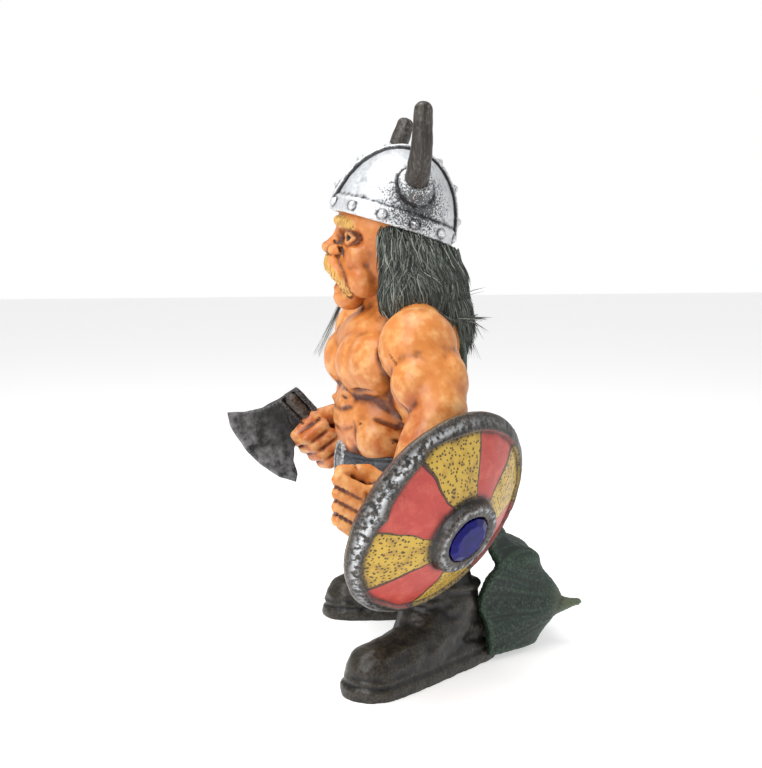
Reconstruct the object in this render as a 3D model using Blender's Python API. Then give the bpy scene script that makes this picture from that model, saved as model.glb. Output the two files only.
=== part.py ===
"""Viking warrior figurine, about 18.5 cm to its horn tips: one hand-painted casting with a helmet,
two horns, a fur wig, a cape, a round shield with a blue stone, and an axe.

The figure looks along -Y, its left hand is at +X and it stands on z = 0. Its pose and carving are
shares of its height, through the unit U. What is fitted to it has sizes of its own."""

import math

import bmesh
import bpy
import numpy as np
from mathutils import Matrix, Vector

MM = 0.001

# The figure, from its soles to the top of its skull
FIGURE_HEIGHT = 170 * MM
U = FIGURE_HEIGHT / 170

# The space left round a piece that touches its neighbour
GAP = 0.3 * MM
CARVED_GAP = 0.7 * MM

# Helmet, measured square to its brim
HELMET_WIDTH = 39 * MM
HELMET_LENGTH = 42.5 * MM
HELMET_RISE = 27.5 * MM
HELMET_WALL = 1.7 * MM
HELMET_TIP_BACK = 17.4
BRIM_BAND = 5.3 * MM
BRIM_PROUD = 0.7 * MM
CREST_WIDTH = 4.6 * MM
CREST_PROUD = 1.4 * MM
RIVET_RADIUS = 1.25 * MM
BRIM_RIVETS = 12
CREST_RIVETS = 7

# Horns and the sockets that hold them
HORN_RADIUS = 4.2 * MM
HORN_TIP_RADIUS = 3.0 * MM
HORN_LENGTH = 25.8 * MM
SOCKET_WALL = 0.9 * MM
SOCKET_FLARE = 9.5 * MM
SOCKET_DEPTH = 2.5 * MM

# Shield, a turned dome
SHIELD_RADIUS = 35.5 * MM
SHIELD_RISE = 13.8 * MM
SHIELD_EDGE = 2.2 * MM
SHIELD_HOLLOW = 7 * MM
RIM_WIDTH = 6.5 * MM
RIM_PROUD = 1.1 * MM
BOSS_RADIUS = 12.3 * MM
BOSS_WIDTH = 4.4 * MM
BOSS_HEIGHT = 3.6 * MM
GEM_RADIUS = 7.6 * MM
GEM_HEIGHT = 2.4 * MM
GEM_PROUD = 1.0 * MM
GEM_FACETS = 12
SOFT_EDGE = 0.5 * MM

# Axe
AXE_THICKNESS = 6.4 * MM
AXE_EDGE = 0.9 * MM
HAFT_RADIUS = 2.4 * MM
HAFT_LENGTH = 60 * MM
HAFT_SIDES = 14
CUTTER_OVERRUN = 5 * MM

# Cape and wig
CAPE_THICKNESS = 3.4 * MM

# Blocks on the back of the shield that the left arm is fixed to
ARM_BLOCK_RADIUS = 4.5 * MM

# Sides of turned shapes, faces allowed in each carved piece, and the grid that joins its masses
BOWL_SIDES = 24
SHIELD_SIDES = 30
HORN_SIDES = 8
FIGURE_FACES = 4150
WIG_FACES = 580
CAPE_FACES = 700
FINE_GRID = 0.75 * MM
COARSE_GRID = 1.1 * MM
CUT_GRID = 0.8 * MM
SLIVER = 0.01 * MM
BLADE_GRID = 0.4 * MM
BLADE_FACES = 1500
CLEARANCE_FACES = 4000


def spot(x, y, z):
    """A place on the figure, in shares of its height."""
    return Vector((x, y, z)) * U


# Joints of the pose
NECK = spot(0, 0, 122)
HEAD_TURN = (
    Matrix.Translation(NECK)
    @ Matrix.Rotation(math.radians(-11), 4, "Z")
    @ Matrix.Translation(-NECK)
)
BRIM_CENTRE = spot(0, -3.4, 145.4)
HELMET_TURN = (
    Matrix.Translation(NECK)
    @ Matrix.Rotation(math.radians(-8), 4, "Z")
    @ Matrix.Translation(BRIM_CENTRE - NECK)
    @ Matrix.Rotation(math.radians(-HELMET_TIP_BACK), 4, "X")
)
LEFT_FIST = spot(56.5, -25.5, 62.5)
RIGHT_FIST = spot(-41, -17.7, 66.5)
HAFT_TOP = spot(-41, -33.7, 83.6)
SHIELD_CENTRE = spot(55.5, -3.1, 58.9)
SHIELD_AXIS = Vector((0.782, 0.477, -0.401)).normalized()


def clear_scene():
    for obj in list(bpy.data.objects):
        bpy.data.objects.remove(obj)


def paint(name, colour, roughness, metallic=0.0):
    material = bpy.data.materials.new(name)
    material.use_nodes = True
    shader = material.node_tree.nodes["Principled BSDF"]
    shader.inputs["Base Color"].default_value = (*colour, 1)
    shader.inputs["Roughness"].default_value = roughness
    shader.inputs["Metallic"].default_value = metallic
    return material


# Masses: closed shapes put into one bmesh, which the grid then joins

def ball(bm, centre, radii, turn=None):
    """An ellipsoid about a place on the figure, radii in shares of its height."""
    size = Matrix.Diagonal((*(r * U for r in radii), 1))
    place = Matrix.Translation(spot(*centre))
    bmesh.ops.create_icosphere(bm, subdivisions=3, radius=1, matrix=place @ (turn or Matrix()) @ size)


def limb(bm, start, end, start_radius, end_radius):
    """A tapered capsule: a ball whose two halves are drawn apart to the two ends."""
    a, b = spot(*start), spot(*end)
    turn = (b - a).to_track_quat("Z", "Y").to_matrix()
    made = bmesh.ops.create_uvsphere(bm, u_segments=16, v_segments=10, radius=1)
    for vert in made["verts"]:
        top = vert.co.z > 0
        radius = (end_radius if top else start_radius) * U
        vert.co = (b if top else a) + turn @ (vert.co * radius)


def chain(bm, joints):
    """Capsules through a run of (place, radius) pairs."""
    for (start, a), (end, b) in zip(joints, joints[1:]):
        limb(bm, start, end, a, b)


def torso(bm):
    ball(bm, (0, -2, 100), (29, 18, 23))
    ball(bm, (0, -5, 81), (22.5, 18.3, 20))
    ball(bm, (0, -4, 68), (22, 17, 10))
    ball(bm, (0, -1, 117), (21, 11.5, 8))
    ball(bm, (0, -9, 107), (24, 12.5, 11))
    for side in (-1, 1):
        ball(bm, (side * 11, -15, 100.5), (12, 9.6, 11))
        ball(bm, (side * 19, -12.5, 101), (12, 9.6, 10.5))
        ball(bm, (side * 25, 3, 96), (10, 12, 19))
        ball(bm, (side * 12, 9, 107), (14, 8, 14))
        ball(bm, (side * 16, -9.5, 76), (7.5, 10, 9))
        limb(bm, (side * 4, 3, 123), (side * 28, -1, 112.5), 8, 8)
        for row, height in enumerate((87.5, 80.5, 73.5)):
            ball(bm, (side * 6.4, -16.2 + row * 1.0, height), (6.8, 6.6, 4.6))
    limb(bm, (0, 0, 114), (0, -1, 130), 13.5, 12)


def arm(bm, side, elbow, wrist):
    shoulder = (side * 37, -3.5, 107.5)
    ball(bm, shoulder, (12.6, 12.6, 13))
    limb(bm, (side * 38, -3, 106), elbow, 11, 8.6)
    middle = [(a + b) / 2 for a, b in zip(shoulder, elbow)]
    ball(bm, (middle[0] + side, middle[1] - 4.5, middle[2] - 1), (8.4, 7.4, 9.5))
    ball(bm, (middle[0] + side * 2, middle[1] + 5, middle[2] - 1), (7.6, 6.8, 10))
    belly = [a + (b - a) * 0.35 for a, b in zip(elbow, wrist)]
    chain(bm, [(elbow, 8.6), (tuple(belly), 8.2), (wrist, 5.6)])


def fist(bm, side, place, forward, thumb_side, size=1.0):
    """A closed hand round a grip that runs along thumb_side. Forward points from wrist to knuckles."""
    up = Vector(thumb_side).normalized()
    ahead = (Vector(forward) - up * up.dot(Vector(forward))).normalized()
    palm = Vector((-side, 0, 0))
    palm = (palm - up * up.dot(palm) - ahead * ahead.dot(palm)).normalized()

    def local(x, y, z):
        return tuple(place / U + (ahead * x + palm * y + up * z) * size)

    wrist = (-11, -0.5, 0)
    for finger in range(4):
        level = 6.3 - finger * 4.1
        knuckle = local(1, -4.6, level - 2.2)
        bend = local(8.6 - finger * 0.4, -1.8, level + 1.2)
        tip_bend = local(6.0, 4.6, level + 0.6)
        tip = local(-1.5, 5.2, level - 0.4)
        limb(bm, local(wrist[0], wrist[1], wrist[2] + level * 0.35), knuckle, 4.2 * size, 2.7 * size)
        chain(bm, [(knuckle, 2.6 * size), (bend, 2.25 * size), (tip_bend, 2.1 * size), (tip, 1.9 * size)])
    chain(bm, [(local(-7, 0, 5), 3.6 * size), (local(-1, 1.6, 9.4), 2.7 * size), (local(7.5, 0.6, 9.6), 2.0 * size)])
    return local(*wrist)


def legs(bm):
    ball(bm, (0, -3, 57), (22.5, 16.5, 13))
    boot(bm, (13, -3, 50), (22, 8, 20), (21, 18), (46.4, -19.8))
    boot(bm, (-13, -3, 50), (-25, 9, 20), (-26.5, 22), (-32.5, -11.4))


def boot(bm, hip, ankle, heel, toe):
    """A trouser leg into a slouched boot. Heel and toe are the middles of the two ends of its sole."""
    knee = ((hip[0] + ankle[0]) / 2, hip[1] + 5, 37)
    limb(bm, hip, knee, 15.5, 15)
    limb(bm, knee, ankle, 14.5, 14)
    for lift, lean in ((31, 1.2), (27, -1.0), (23.5, 0.8)):
        ball(bm, (ankle[0] - 1.5 + lean * 0.4, ankle[1] - 1 - lean, lift), (14.9, 15.4, 2.6))
    middle = [heel[i] * 0.45 + toe[i] * 0.55 for i in range(2)]
    limb(bm, (*ankle[:2], 16), (*heel, 10), 13.5, 8.5)
    limb(bm, (*ankle[:2], 15), (*middle, 8.5), 13, 9.8)
    limb(bm, (*middle, 7.6), (*toe, 6.0), 10.2, 9.6)
    limb(bm, (*heel, 1.2), (*middle, 1.2), 10.2, 11)
    limb(bm, (*middle, 1.2), (*toe, 1.2), 11, 10.8)


def head(bm):
    """The skull and face before the head turns, as a bmesh of its own."""
    skull = Vector((HELMET_WIDTH, HELMET_LENGTH, 0)) / 2 / U
    inside = (HELMET_WALL + 2 * GAP) / U
    top = (HELMET_RISE - HELMET_WALL - 2 * GAP) / U
    tip = Matrix.Rotation(math.radians(-HELMET_TIP_BACK), 4, "X")
    ball(bm, tuple(BRIM_CENTRE / U), (skull.x - inside - 0.6, skull.y - inside - 0.6, top - 0.6), tip)
    ball(bm, (0, -7, 135), (14.2, 12.5, 15))
    ball(bm, (0, -3, 130), (13, 14, 12))
    limb(bm, (-8.5, -15.2, 146), (8.5, -15.2, 146), 4.2, 4.2)
    ball(bm, (0, -17, 146.5), (6.5, 4.2, 4))
    chain(bm, [((0, -18.4, 144.6), 2.0), ((0, -21.9, 141.2), 2.2), ((0, -24.0, 139.2), 2.6)])
    ball(bm, (0, -14, 128), (8.2, 7.6, 7))
    ball(bm, (0, -17.6, 122.6), (6.4, 5.4, 4.8))
    limb(bm, (-3.2, -20.4, 125.2), (3.2, -20.4, 125.2), 2.0, 2.0)
    limb(bm, (-2.5, -20.2, 130.4), (2.5, -20.2, 130.4), 2.2, 2.2)
    for side in (-1, 1):
        ball(bm, (side * 2.9, -21.5, 138.2), (2.3, 2.6, 2.0))
        ball(bm, (side * 9.2, -13.6, 137), (5, 5, 4.8))
        ball(bm, (side * 8.4, -12.5, 129), (5, 5.5, 6))
        ball(bm, (side * 6.2, -15.4, 142), (3.2, 2.7, 2.3))
        limb(bm, (side * 2, -19.9, 147.2), (side * 11, -13.8, 145.4), 2.5, 1.8)
        run = [((side * 0.9, -23.2, 135.4), 2.1), ((side * 3.6, -22.9, 132.6), 2.4), ((side * 6.6, -19.6, 127.6), 1.7)]
        chain(bm, run + [((side * 7.4, -17.8, 124.6), 1.1)])


def belt(bm):
    """The belt's roll round the waist with its round buckle in front."""
    steps = 28
    for step in range(steps):
        here, there = (2 * math.pi * (step + k) / steps for k in (0, 1))
        a, b = ((22.6 * math.sin(t), -3.8 - 17 * math.cos(t), 66.3) for t in (here, there))
        for lift in (-2.2, 0, 2.2):
            limb(bm, (a[0], a[1], a[2] + lift), (b[0], b[1], b[2] + lift), 1.6, 1.6)
    turn = Matrix.Rotation(math.radians(-8), 4, "X")
    ball(bm, (0, -20.8, 66.6), (6.8, 2.2, 6.4), turn)


def object_from(bm, name, material=None):
    mesh = bpy.data.meshes.new(name)
    bm.to_mesh(mesh)
    bm.free()
    obj = bpy.data.objects.new(name, mesh)
    bpy.context.scene.collection.objects.link(obj)
    if material:
        mesh.materials.append(material)
    return obj


def bake(obj):
    """Turns an object's modifiers into its mesh."""
    graph = bpy.context.evaluated_depsgraph_get()
    mesh = bpy.data.meshes.new_from_object(obj.evaluated_get(graph))
    obj.modifiers.clear()
    obj.data = mesh
    return obj


def joined(obj, grid, rounds=2, strength=0.5):
    """Joins the masses in an object into one skin on a grid, and eases the steps that the grid leaves."""
    remesh = obj.modifiers.new("Join", "REMESH")
    remesh.mode = "VOXEL"
    remesh.voxel_size = grid
    ease = obj.modifiers.new("Ease", "SMOOTH")
    ease.factor = strength
    ease.iterations = rounds
    return bake(obj)


def thinned(obj, faces, fine=None, share=0.5):
    """Takes faces away down to a number. A fine rule marks places that keep up to a share of them."""
    if fine:
        rest = [v.index for v in obj.data.vertices if not fine(v.co)]
        group = obj.vertex_groups.new(name="rest")
        group.add(rest, 1.0, "REPLACE")
        kept = 2 * (len(obj.data.vertices) - len(rest))
        fewer(obj, kept + faces * (1 - share), "rest")
        obj.vertex_groups.clear()
    return fewer(obj, faces)


def fewer(obj, faces, group=""):
    count = sum(len(p.vertices) - 2 for p in obj.data.polygons)
    decimate = obj.modifiers.new("Fewer", "DECIMATE")
    decimate.ratio = min(1.0, faces / count)
    decimate.vertex_group = group
    return bake(obj)


def face_or_hand(place):
    """Whether a place on the figure is on its face or one of its fists."""
    in_face = place.z > 119 * U and place.y < -8 * U
    return in_face or min((place - LEFT_FIST).length, (place - RIGHT_FIST).length) < 14 * U


def press(obj, run, width, depth):
    """Pushes the skin in along a run of places, or out where depth is negative, as a carver's stroke."""
    mesh = obj.data
    count = len(mesh.vertices)
    places, normals = np.empty(count * 3), np.empty(count * 3)
    mesh.vertices.foreach_get("co", places)
    mesh.vertices.foreach_get("normal", normals)
    places, normals = places.reshape(-1, 3), normals.reshape(-1, 3)
    knots = [np.array(spot(*p)) for p in run]
    far = np.min([distance_to(places, a, b) for a, b in zip(knots, knots[1:])], axis=0)
    share = np.clip(1 - (far / (width * U)) ** 2, 0, 1) ** 2
    places -= normals * (depth * U * share)[:, None]
    mesh.vertices.foreach_set("co", places.ravel())
    mesh.update()


def distance_to(places, a, b):
    """Distance from each place to the straight run from a to b."""
    along = b - a
    share = np.clip((places - a) @ along / (along @ along), 0, 1)
    return np.linalg.norm(places - a - share[:, None] * along, axis=1)


def cut(obj, cutter, operation="DIFFERENCE"):
    boolean = obj.modifiers.new(operation.title(), "BOOLEAN")
    boolean.operation = operation
    boolean.object = cutter
    bake(obj)
    return obj


def remove(*objects):
    for obj in objects:
        bpy.data.objects.remove(obj)


def swollen(obj, gap, grid=COARSE_GRID, faces=CLEARANCE_FACES):
    """A copy of a piece grown by a gap all over, to cut a neighbour with."""
    copy = bpy.data.objects.new(obj.name + "_clearance", obj.data.copy())
    bpy.context.scene.collection.objects.link(copy)
    remesh = copy.modifiers.new("Join", "REMESH")
    remesh.mode = "VOXEL"
    remesh.voxel_size = grid
    grow = copy.modifiers.new("Grow", "DISPLACE")
    grow.mid_level = 0
    grow.strength = gap
    joined(bake(copy), grid, 1)
    thinned(copy, faces)
    copy.hide_render = True
    copy.display_type = "WIRE"
    return copy


def trim(obj, neighbour, gap):
    """Cuts a piece back from its neighbour, leaving a gap."""
    cutter = swollen(neighbour, gap)
    cut(obj, cutter)
    remove(cutter)


def fitted(obj, faces, *neighbours):
    """Cuts a soft piece to its neighbours, thins it, and trims what the thinning moved too near."""
    for neighbour in neighbours:
        trim(obj, neighbour, CARVED_GAP)
    joined(largest(obj), CUT_GRID, 1)
    thinned(largest(obj), faces)
    for neighbour in neighbours:
        trim(obj, neighbour, GAP)
    return largest(obj)


def flat_base(obj, level=0.0):
    """Cuts a piece flat at a level, as it stands on a table."""
    ground = box_cutter("ground", Matrix(), (400, 400, 60), (0, 0, -30 + level / U))
    cut(obj, ground)
    remove(ground)
    return obj


def carve_figure(obj):
    """The muscles' edges, the face and the folds that show from a step away."""
    press(obj, [(0, -26, 114), (0, -28, 92)], 2.6, 1.6)
    press(obj, [(0, -26, 90), (0, -24, 72)], 2.0, 0.9)
    for side in (-1, 1):
        pec = [(side * 2, -24, 90.5), (side * 12, -22.5, 89), (side * 22, -16, 92), (side * 27, -11, 100)]
        press(obj, pec, 2.6, 1.8)
        press(obj, [(side * 27, -11, 101), (side * 29, -13, 112)], 2.4, 1.4)
        press(obj, [(side * 14.5, -22, 88), (side * 15, -20, 74)], 2.4, 1.3)
        for height in (84.6, 77.6):
            press(obj, [(side * 1, -24, height), (side * 13, -21, height + 1)], 1.8, 1.0)


def make_figure(material):
    body = bmesh.new()
    torso(body)
    legs(body)
    belt(body)
    left_wrist = fist(body, 1, LEFT_FIST, (0.05, -0.97, 0.1), (0, 0.1, 1))
    arm(body, 1, (51, 0, 89), left_wrist)
    grip = RIGHT_FIST - HAFT_TOP
    right_wrist = fist(body, -1, RIGHT_FIST, (0.05, -0.7, -0.7), -grip, 1.1)
    arm(body, -1, (-46, 2, 88), right_wrist)
    face = bmesh.new()
    head(face)
    bmesh.ops.transform(face, matrix=HEAD_TURN, verts=face.verts)
    turned = bpy.data.meshes.new("turned head")
    face.to_mesh(turned)
    face.free()
    body.from_mesh(turned)
    bpy.data.meshes.remove(turned)
    obj = object_from(body, "figure")
    joined(obj, FINE_GRID)
    carve_figure(obj)
    obj.data.materials.append(material)
    return obj


def turned_solid(name, profile, sides, material=None):
    """A closed solid turned about Z from (radius, height) points that run outside, top to bottom."""
    bm = bmesh.new()
    rings = []
    for radius, height in profile:
        if radius < 1e-9:
            rings.append([bm.verts.new((0, 0, height))])
        else:
            ring = bmesh.ops.create_circle(bm, segments=sides, radius=radius, matrix=Matrix.Translation((0, 0, height)))
            rings.append(ring["verts"])
    pairs = list(zip(rings, rings[1:])) + ([(rings[-1], rings[0])] if len(rings[-1]) > 1 else [])
    for upper, lower in pairs:
        for k in range(sides):
            corners = [upper[k % len(upper)], upper[(k + 1) % len(upper)]]
            corners += [lower[(k + 1) % len(lower)], lower[k % len(lower)]]
            unique = list(dict.fromkeys(corners))
            bm.faces.new(unique)
    bmesh.ops.recalc_face_normals(bm, faces=bm.faces)
    return object_from(bm, name, material)


def bowl(name, grow=0.0):
    """The outside of the helmet's bowl and brim band as a solid, placed on the head."""
    steps = 7
    radius, rise = HELMET_WIDTH / 2 + grow, HELMET_RISE + grow
    profile = [(0.0, rise)]
    for step in range(1, steps):
        angle = math.pi / 2 * step / steps
        if rise * math.cos(angle) > BRIM_BAND + grow:
            profile.append((radius * math.sin(angle), rise * math.cos(angle)))
    band = BRIM_BAND + grow
    profile.append((radius * math.sqrt(1 - (band / rise) ** 2), band))
    profile += [(radius + BRIM_PROUD, band), (radius + BRIM_PROUD, -grow), (0.0, -grow)]
    return on_head(turned_solid(name, profile, BOWL_SIDES))


def hollow(name, shrink=0.0):
    """The room inside the bowl, open below."""
    steps = 6
    radius, rise = HELMET_WIDTH / 2 - HELMET_WALL - shrink, HELMET_RISE - HELMET_WALL - shrink
    profile = [(0.0, rise)]
    for step in range(1, steps + 1):
        angle = math.pi / 2 * step / steps
        profile.append((radius * math.sin(angle), rise * math.cos(angle)))
    profile += [(radius, -HELMET_RISE), (0.0, -HELMET_RISE)]
    return on_head(turned_solid(name, profile, BOWL_SIDES))


def on_head(obj):
    """Draws a shape turned for the helmet's width out to its length, and sets it on the head."""
    obj.data.transform(HELMET_TURN @ Matrix.Diagonal((1, HELMET_LENGTH / HELMET_WIDTH, 1, 1)))
    return obj


def on_helmet(angle, lean):
    """A place on the helmet's outside: angle round it from the front, lean up from the brim."""
    level = Vector((HELMET_WIDTH / 2 * math.sin(angle), -HELMET_LENGTH / 2 * math.cos(angle), 0))
    return HELMET_TURN @ (level * math.cos(lean) + Vector((0, 0, HELMET_RISE * math.sin(lean))))


def rivet(bm, place):
    bmesh.ops.create_icosphere(bm, subdivisions=1, radius=RIVET_RADIUS, matrix=Matrix.Translation(place))


def crest(name):
    """The band over the helmet from front to back, as a bent bar that sinks into the bowl."""
    bm = bmesh.new()
    steps, sunk = 14, HELMET_WALL / 2
    first, last = math.radians(9), math.radians(171)
    rings = []
    for step in range(steps + 1):
        lean = first + (last - first) * step / steps
        corners = []
        for proud, across in ((CREST_PROUD, -1), (CREST_PROUD, 1), (-sunk, 1), (-sunk, -1)):
            ahead, rise = HELMET_LENGTH / 2 + proud, HELMET_RISE + proud
            place = Vector((across * CREST_WIDTH / 2, -ahead * math.cos(lean), rise * math.sin(lean)))
            corners.append(bm.verts.new(HELMET_TURN @ place))
        rings.append(corners)
    for a, b in zip(rings, rings[1:]):
        for k in range(4):
            bm.faces.new([a[k], a[(k + 1) % 4], b[(k + 1) % 4], b[k]])
    bm.faces.new(rings[0][::-1])
    bm.faces.new(rings[-1])
    bmesh.ops.recalc_face_normals(bm, faces=bm.faces)
    return object_from(bm, name)


def horn_run(side):
    """Base, first direction and last direction of a horn: it leaves the bowl outwards and turns up."""
    if side > 0:
        round_bowl, lean_back = math.radians(97), 0.02
    else:
        round_bowl, lean_back = math.radians(84), 0.36
    base = on_helmet(side * round_bowl, math.radians(34))
    return base, Vector((side * 0.8, 0, 0.6)).normalized(), Vector((side * 0.06, lean_back, 1)).normalized()


def horn_points(side):
    """Places and radii along a horn, from inside its socket to its blunt tip."""
    base, out, up = horn_run(side)
    steps = 6
    points = []
    here = base.copy()
    for step in range(steps + 1):
        share = step / steps
        radius = HORN_RADIUS + (HORN_TIP_RADIUS - HORN_RADIUS) * share
        along = out.lerp(up, min(1, share * 1.6)).normalized()
        points.append((here.copy(), radius, along))
        here += along * (HORN_LENGTH / steps)
    return points


def tube(name, rings, sides, material=None):
    """A closed tube through (place, radius, direction) rings."""
    bm = bmesh.new()
    rows = []
    for place, radius, along in rings:
        turn = along.to_track_quat("Z", "Y").to_matrix().to_4x4()
        ring = bmesh.ops.create_circle(bm, segments=sides, radius=radius, matrix=Matrix.Translation(place) @ turn)
        rows.append(ring["verts"])
    for a, b in zip(rows, rows[1:]):
        for k in range(sides):
            bm.faces.new([a[k], a[(k + 1) % sides], b[(k + 1) % sides], b[k]])
    bm.faces.new(rows[0])
    bm.faces.new(rows[-1])
    bmesh.ops.recalc_face_normals(bm, faces=bm.faces)
    return object_from(bm, name, material)


def make_horn(side, material=None, grow=0.0):
    points = [(place, radius + grow, along) for place, radius, along in horn_points(side)]
    base, radius, along = points[0]
    points[0] = (base - along * grow, radius, along)
    tip, radius, along = points[-1]
    points.append((tip + along * radius * 0.55, radius * 0.8, along))
    points.append((tip + along * radius * 0.85, radius * 0.35, along))
    name = "horn_left" if side > 0 else "horn_right"
    return tube(name, points, HORN_SIDES, material)


def socket(side):
    """The flared socket on the bowl that holds a horn."""
    base, out, _ = horn_run(side)
    mouth = HORN_RADIUS + SOCKET_WALL + GAP
    start = base - out * (HELMET_WALL * 0.5 + SOCKET_DEPTH)
    rings = [
        (start, SOCKET_FLARE, out),
        (base - out * SOCKET_DEPTH * 0.2, (SOCKET_FLARE + mouth) / 2, out),
        (base + out * SOCKET_DEPTH, mouth, out),
    ]
    return tube("socket", rings, 16)


def studs():
    """Rivets along the brim band and the crest."""
    bm = bmesh.new()
    across, ahead = HELMET_WIDTH / 2 + BRIM_PROUD, HELMET_LENGTH / 2 + BRIM_PROUD
    for k in range(BRIM_RIVETS):
        angle = 2 * math.pi * (k + 0.5) / BRIM_RIVETS
        rivet(bm, HELMET_TURN @ Vector((across * math.sin(angle), -ahead * math.cos(angle), BRIM_BAND / 2)))
    ahead, rise = HELMET_LENGTH / 2 + CREST_PROUD, HELMET_RISE + CREST_PROUD
    for k in range(CREST_RIVETS):
        lean = math.pi * (k + 0.75) / (CREST_RIVETS + 0.5)
        rivet(bm, HELMET_TURN @ Vector((0, -ahead * math.cos(lean), rise * math.sin(lean))))
    return object_from(bm, "rivets")


def make_helmet(material):
    """The bowl with brim, crest, sockets and rivets in one, hollowed, with a bore for each horn."""
    helmet = bowl("helmet")
    extras = [crest("crest"), socket(-1), socket(1), studs()]
    for extra in extras:
        cut(helmet, extra, "UNION")
    cutters = [hollow("hollow"), make_horn(-1, grow=GAP), make_horn(1, grow=GAP)]
    for cutter in cutters:
        cut(helmet, cutter)
    remove(*extras, *cutters)
    clean(helmet)
    helmet.data.materials.append(material)
    return helmet


def shield_place():
    """Turns the shield's own frame, axis +Z out of its face and +Y up its height, into the world."""
    out = SHIELD_AXIS
    across = Vector((0, 0, 1)).cross(out).normalized()
    up = out.cross(across)
    turn = Matrix((across, up, out)).transposed().to_4x4()
    return Matrix.Translation(SHIELD_CENTRE) @ turn


def dome(radius):
    """Height of the shield's painted field above its edge plane."""
    return SHIELD_EDGE + (SHIELD_RISE - SHIELD_EDGE) * (1 - (radius / SHIELD_RADIUS) ** 1.8)


def make_shield(material):
    inner_rim = SHIELD_RADIUS - RIM_WIDTH
    seat = GEM_RADIUS + GAP
    boss_top = dome(BOSS_RADIUS) + BOSS_HEIGHT
    seat_floor = boss_top + GEM_PROUD - GEM_HEIGHT - GAP
    profile = [(0.0, seat_floor), (seat, seat_floor), (seat, boss_top - SOFT_EDGE)]
    profile += [(seat + BOSS_WIDTH * 0.35, boss_top), (BOSS_RADIUS - BOSS_WIDTH * 0.3, boss_top)]
    profile += [(BOSS_RADIUS, dome(BOSS_RADIUS) + BOSS_HEIGHT * 0.45), (BOSS_RADIUS, dome(BOSS_RADIUS))]
    steps = 4
    for step in range(1, steps + 1):
        radius = BOSS_RADIUS + (inner_rim - BOSS_RADIUS) * step / steps
        profile.append((radius, dome(radius)))
    profile += [(inner_rim + SOFT_EDGE, dome(inner_rim) + RIM_PROUD)]
    middle = inner_rim + RIM_WIDTH * 0.6
    profile += [(middle, dome(middle) + RIM_PROUD), (SHIELD_RADIUS - SOFT_EDGE, SHIELD_EDGE)]
    profile += [(SHIELD_RADIUS, SHIELD_EDGE * 0.6), (SHIELD_RADIUS - SOFT_EDGE, 0.0)]
    profile += [(inner_rim, 0.0)]
    for step in range(1, 4):
        radius = inner_rim * (1 - step / 3.6)
        profile.append((radius, SHIELD_HOLLOW * (1 - (radius / inner_rim) ** 2)))
    profile.append((0.0, SHIELD_HOLLOW))
    shield = turned_solid("shield", profile, SHIELD_SIDES, material)
    shield.data.transform(shield_place())
    return shield


def arm_block(name, place):
    """A cast block from the hollow of the shield's back to the middle of the arm."""
    behind = (SHIELD_CENTRE - place).dot(SHIELD_AXIS)
    flat = place + SHIELD_AXIS * behind
    share = (flat - SHIELD_CENTRE).length / (SHIELD_RADIUS - RIM_WIDTH)
    sunk = max(0.0, SHIELD_HOLLOW * (1 - share * share)) + SHIELD_EDGE / 2
    ends = (flat + SHIELD_AXIS * sunk, place)
    return tube(name, [(end, ARM_BLOCK_RADIUS, -SHIELD_AXIS) for end in ends], 10)


def make_gem(material):
    """A flat round stone with a ring of facets."""
    seat_top = dome(BOSS_RADIUS) + BOSS_HEIGHT + GEM_PROUD
    profile = [(0.0, seat_top), (GEM_RADIUS * 0.72, seat_top), (GEM_RADIUS, seat_top - GEM_PROUD)]
    profile += [(GEM_RADIUS, seat_top - GEM_HEIGHT), (0.0, seat_top - GEM_HEIGHT)]
    gem = turned_solid("shield_gem", profile, GEM_FACETS, material)
    gem.data.transform(shield_place())
    return gem


def axe_outline():
    """Corners of the blade in the plane of the axe, as (y, z) shares: poll, upper curve, edge, lower curve."""
    upper = [(-36.0, 82.4), (-43.0, 78.9), (-49.7, 77.6)]
    edge = [(-56.4, 77.8), (-55.4, 73.0), (-52.9, 68.0), (-48.8, 62.3), (-43.2, 56.4), (-36.7, 52.0), (-30.6, 50.0)]
    lower = [(-30.0, 53.1), (-31.6, 58.5), (-31.2, 63.5), (-28.0, 69.5)]
    return [(-22.7, 78.7), (-29.9, 86.5)] + upper + edge + lower + [(-24.3, 75.6)]


def make_axe_head(material):
    """A wedge, thick at the poll and thin at the edge, with an eye for the haft."""
    haft = (RIGHT_FIST - HAFT_TOP).normalized()
    ahead = Vector((0, haft.z, -haft.y))
    poll = spot(-41, -26.3, 82.6)
    bm = bmesh.new()
    near = [bm.verts.new(spot(-41, y, z)) for y, z in axe_outline()]
    face = bm.faces.new(near)
    far = bmesh.ops.extrude_face_region(bm, geom=[face])
    moved = [v for v in far["geom"] if isinstance(v, bmesh.types.BMVert)]
    length = max((v.co - poll).dot(ahead) for v in near)
    for verts, sign in ((near, -1), (moved, 1)):
        for vert in verts:
            share = max(0.0, (vert.co - poll).dot(ahead)) / length
            vert.co.x += sign * (AXE_THICKNESS + (AXE_EDGE - AXE_THICKNESS) * share) / 2
    bmesh.ops.recalc_face_normals(bm, faces=bm.faces)
    head_piece = object_from(bm, "axe_head", material)
    eye = haft_solid("eye", GAP, CUTTER_OVERRUN)
    cut(head_piece, eye)
    remove(eye)
    return head_piece


def haft_solid(name, grow=0.0, longer=0.0, material=None):
    """The haft through the right fist, drifting out a little from the leg as it goes down."""
    run = RIGHT_FIST - HAFT_TOP
    along = (run.normalized() + Vector((-0.09, 0, 0))).normalized()
    top = RIGHT_FIST - along * run.length
    ends = (top - along * longer, top + along * (HAFT_LENGTH + longer))
    return tube(name, [(end, HAFT_RADIUS + grow, along) for end in ends], HAFT_SIDES, material)


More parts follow.
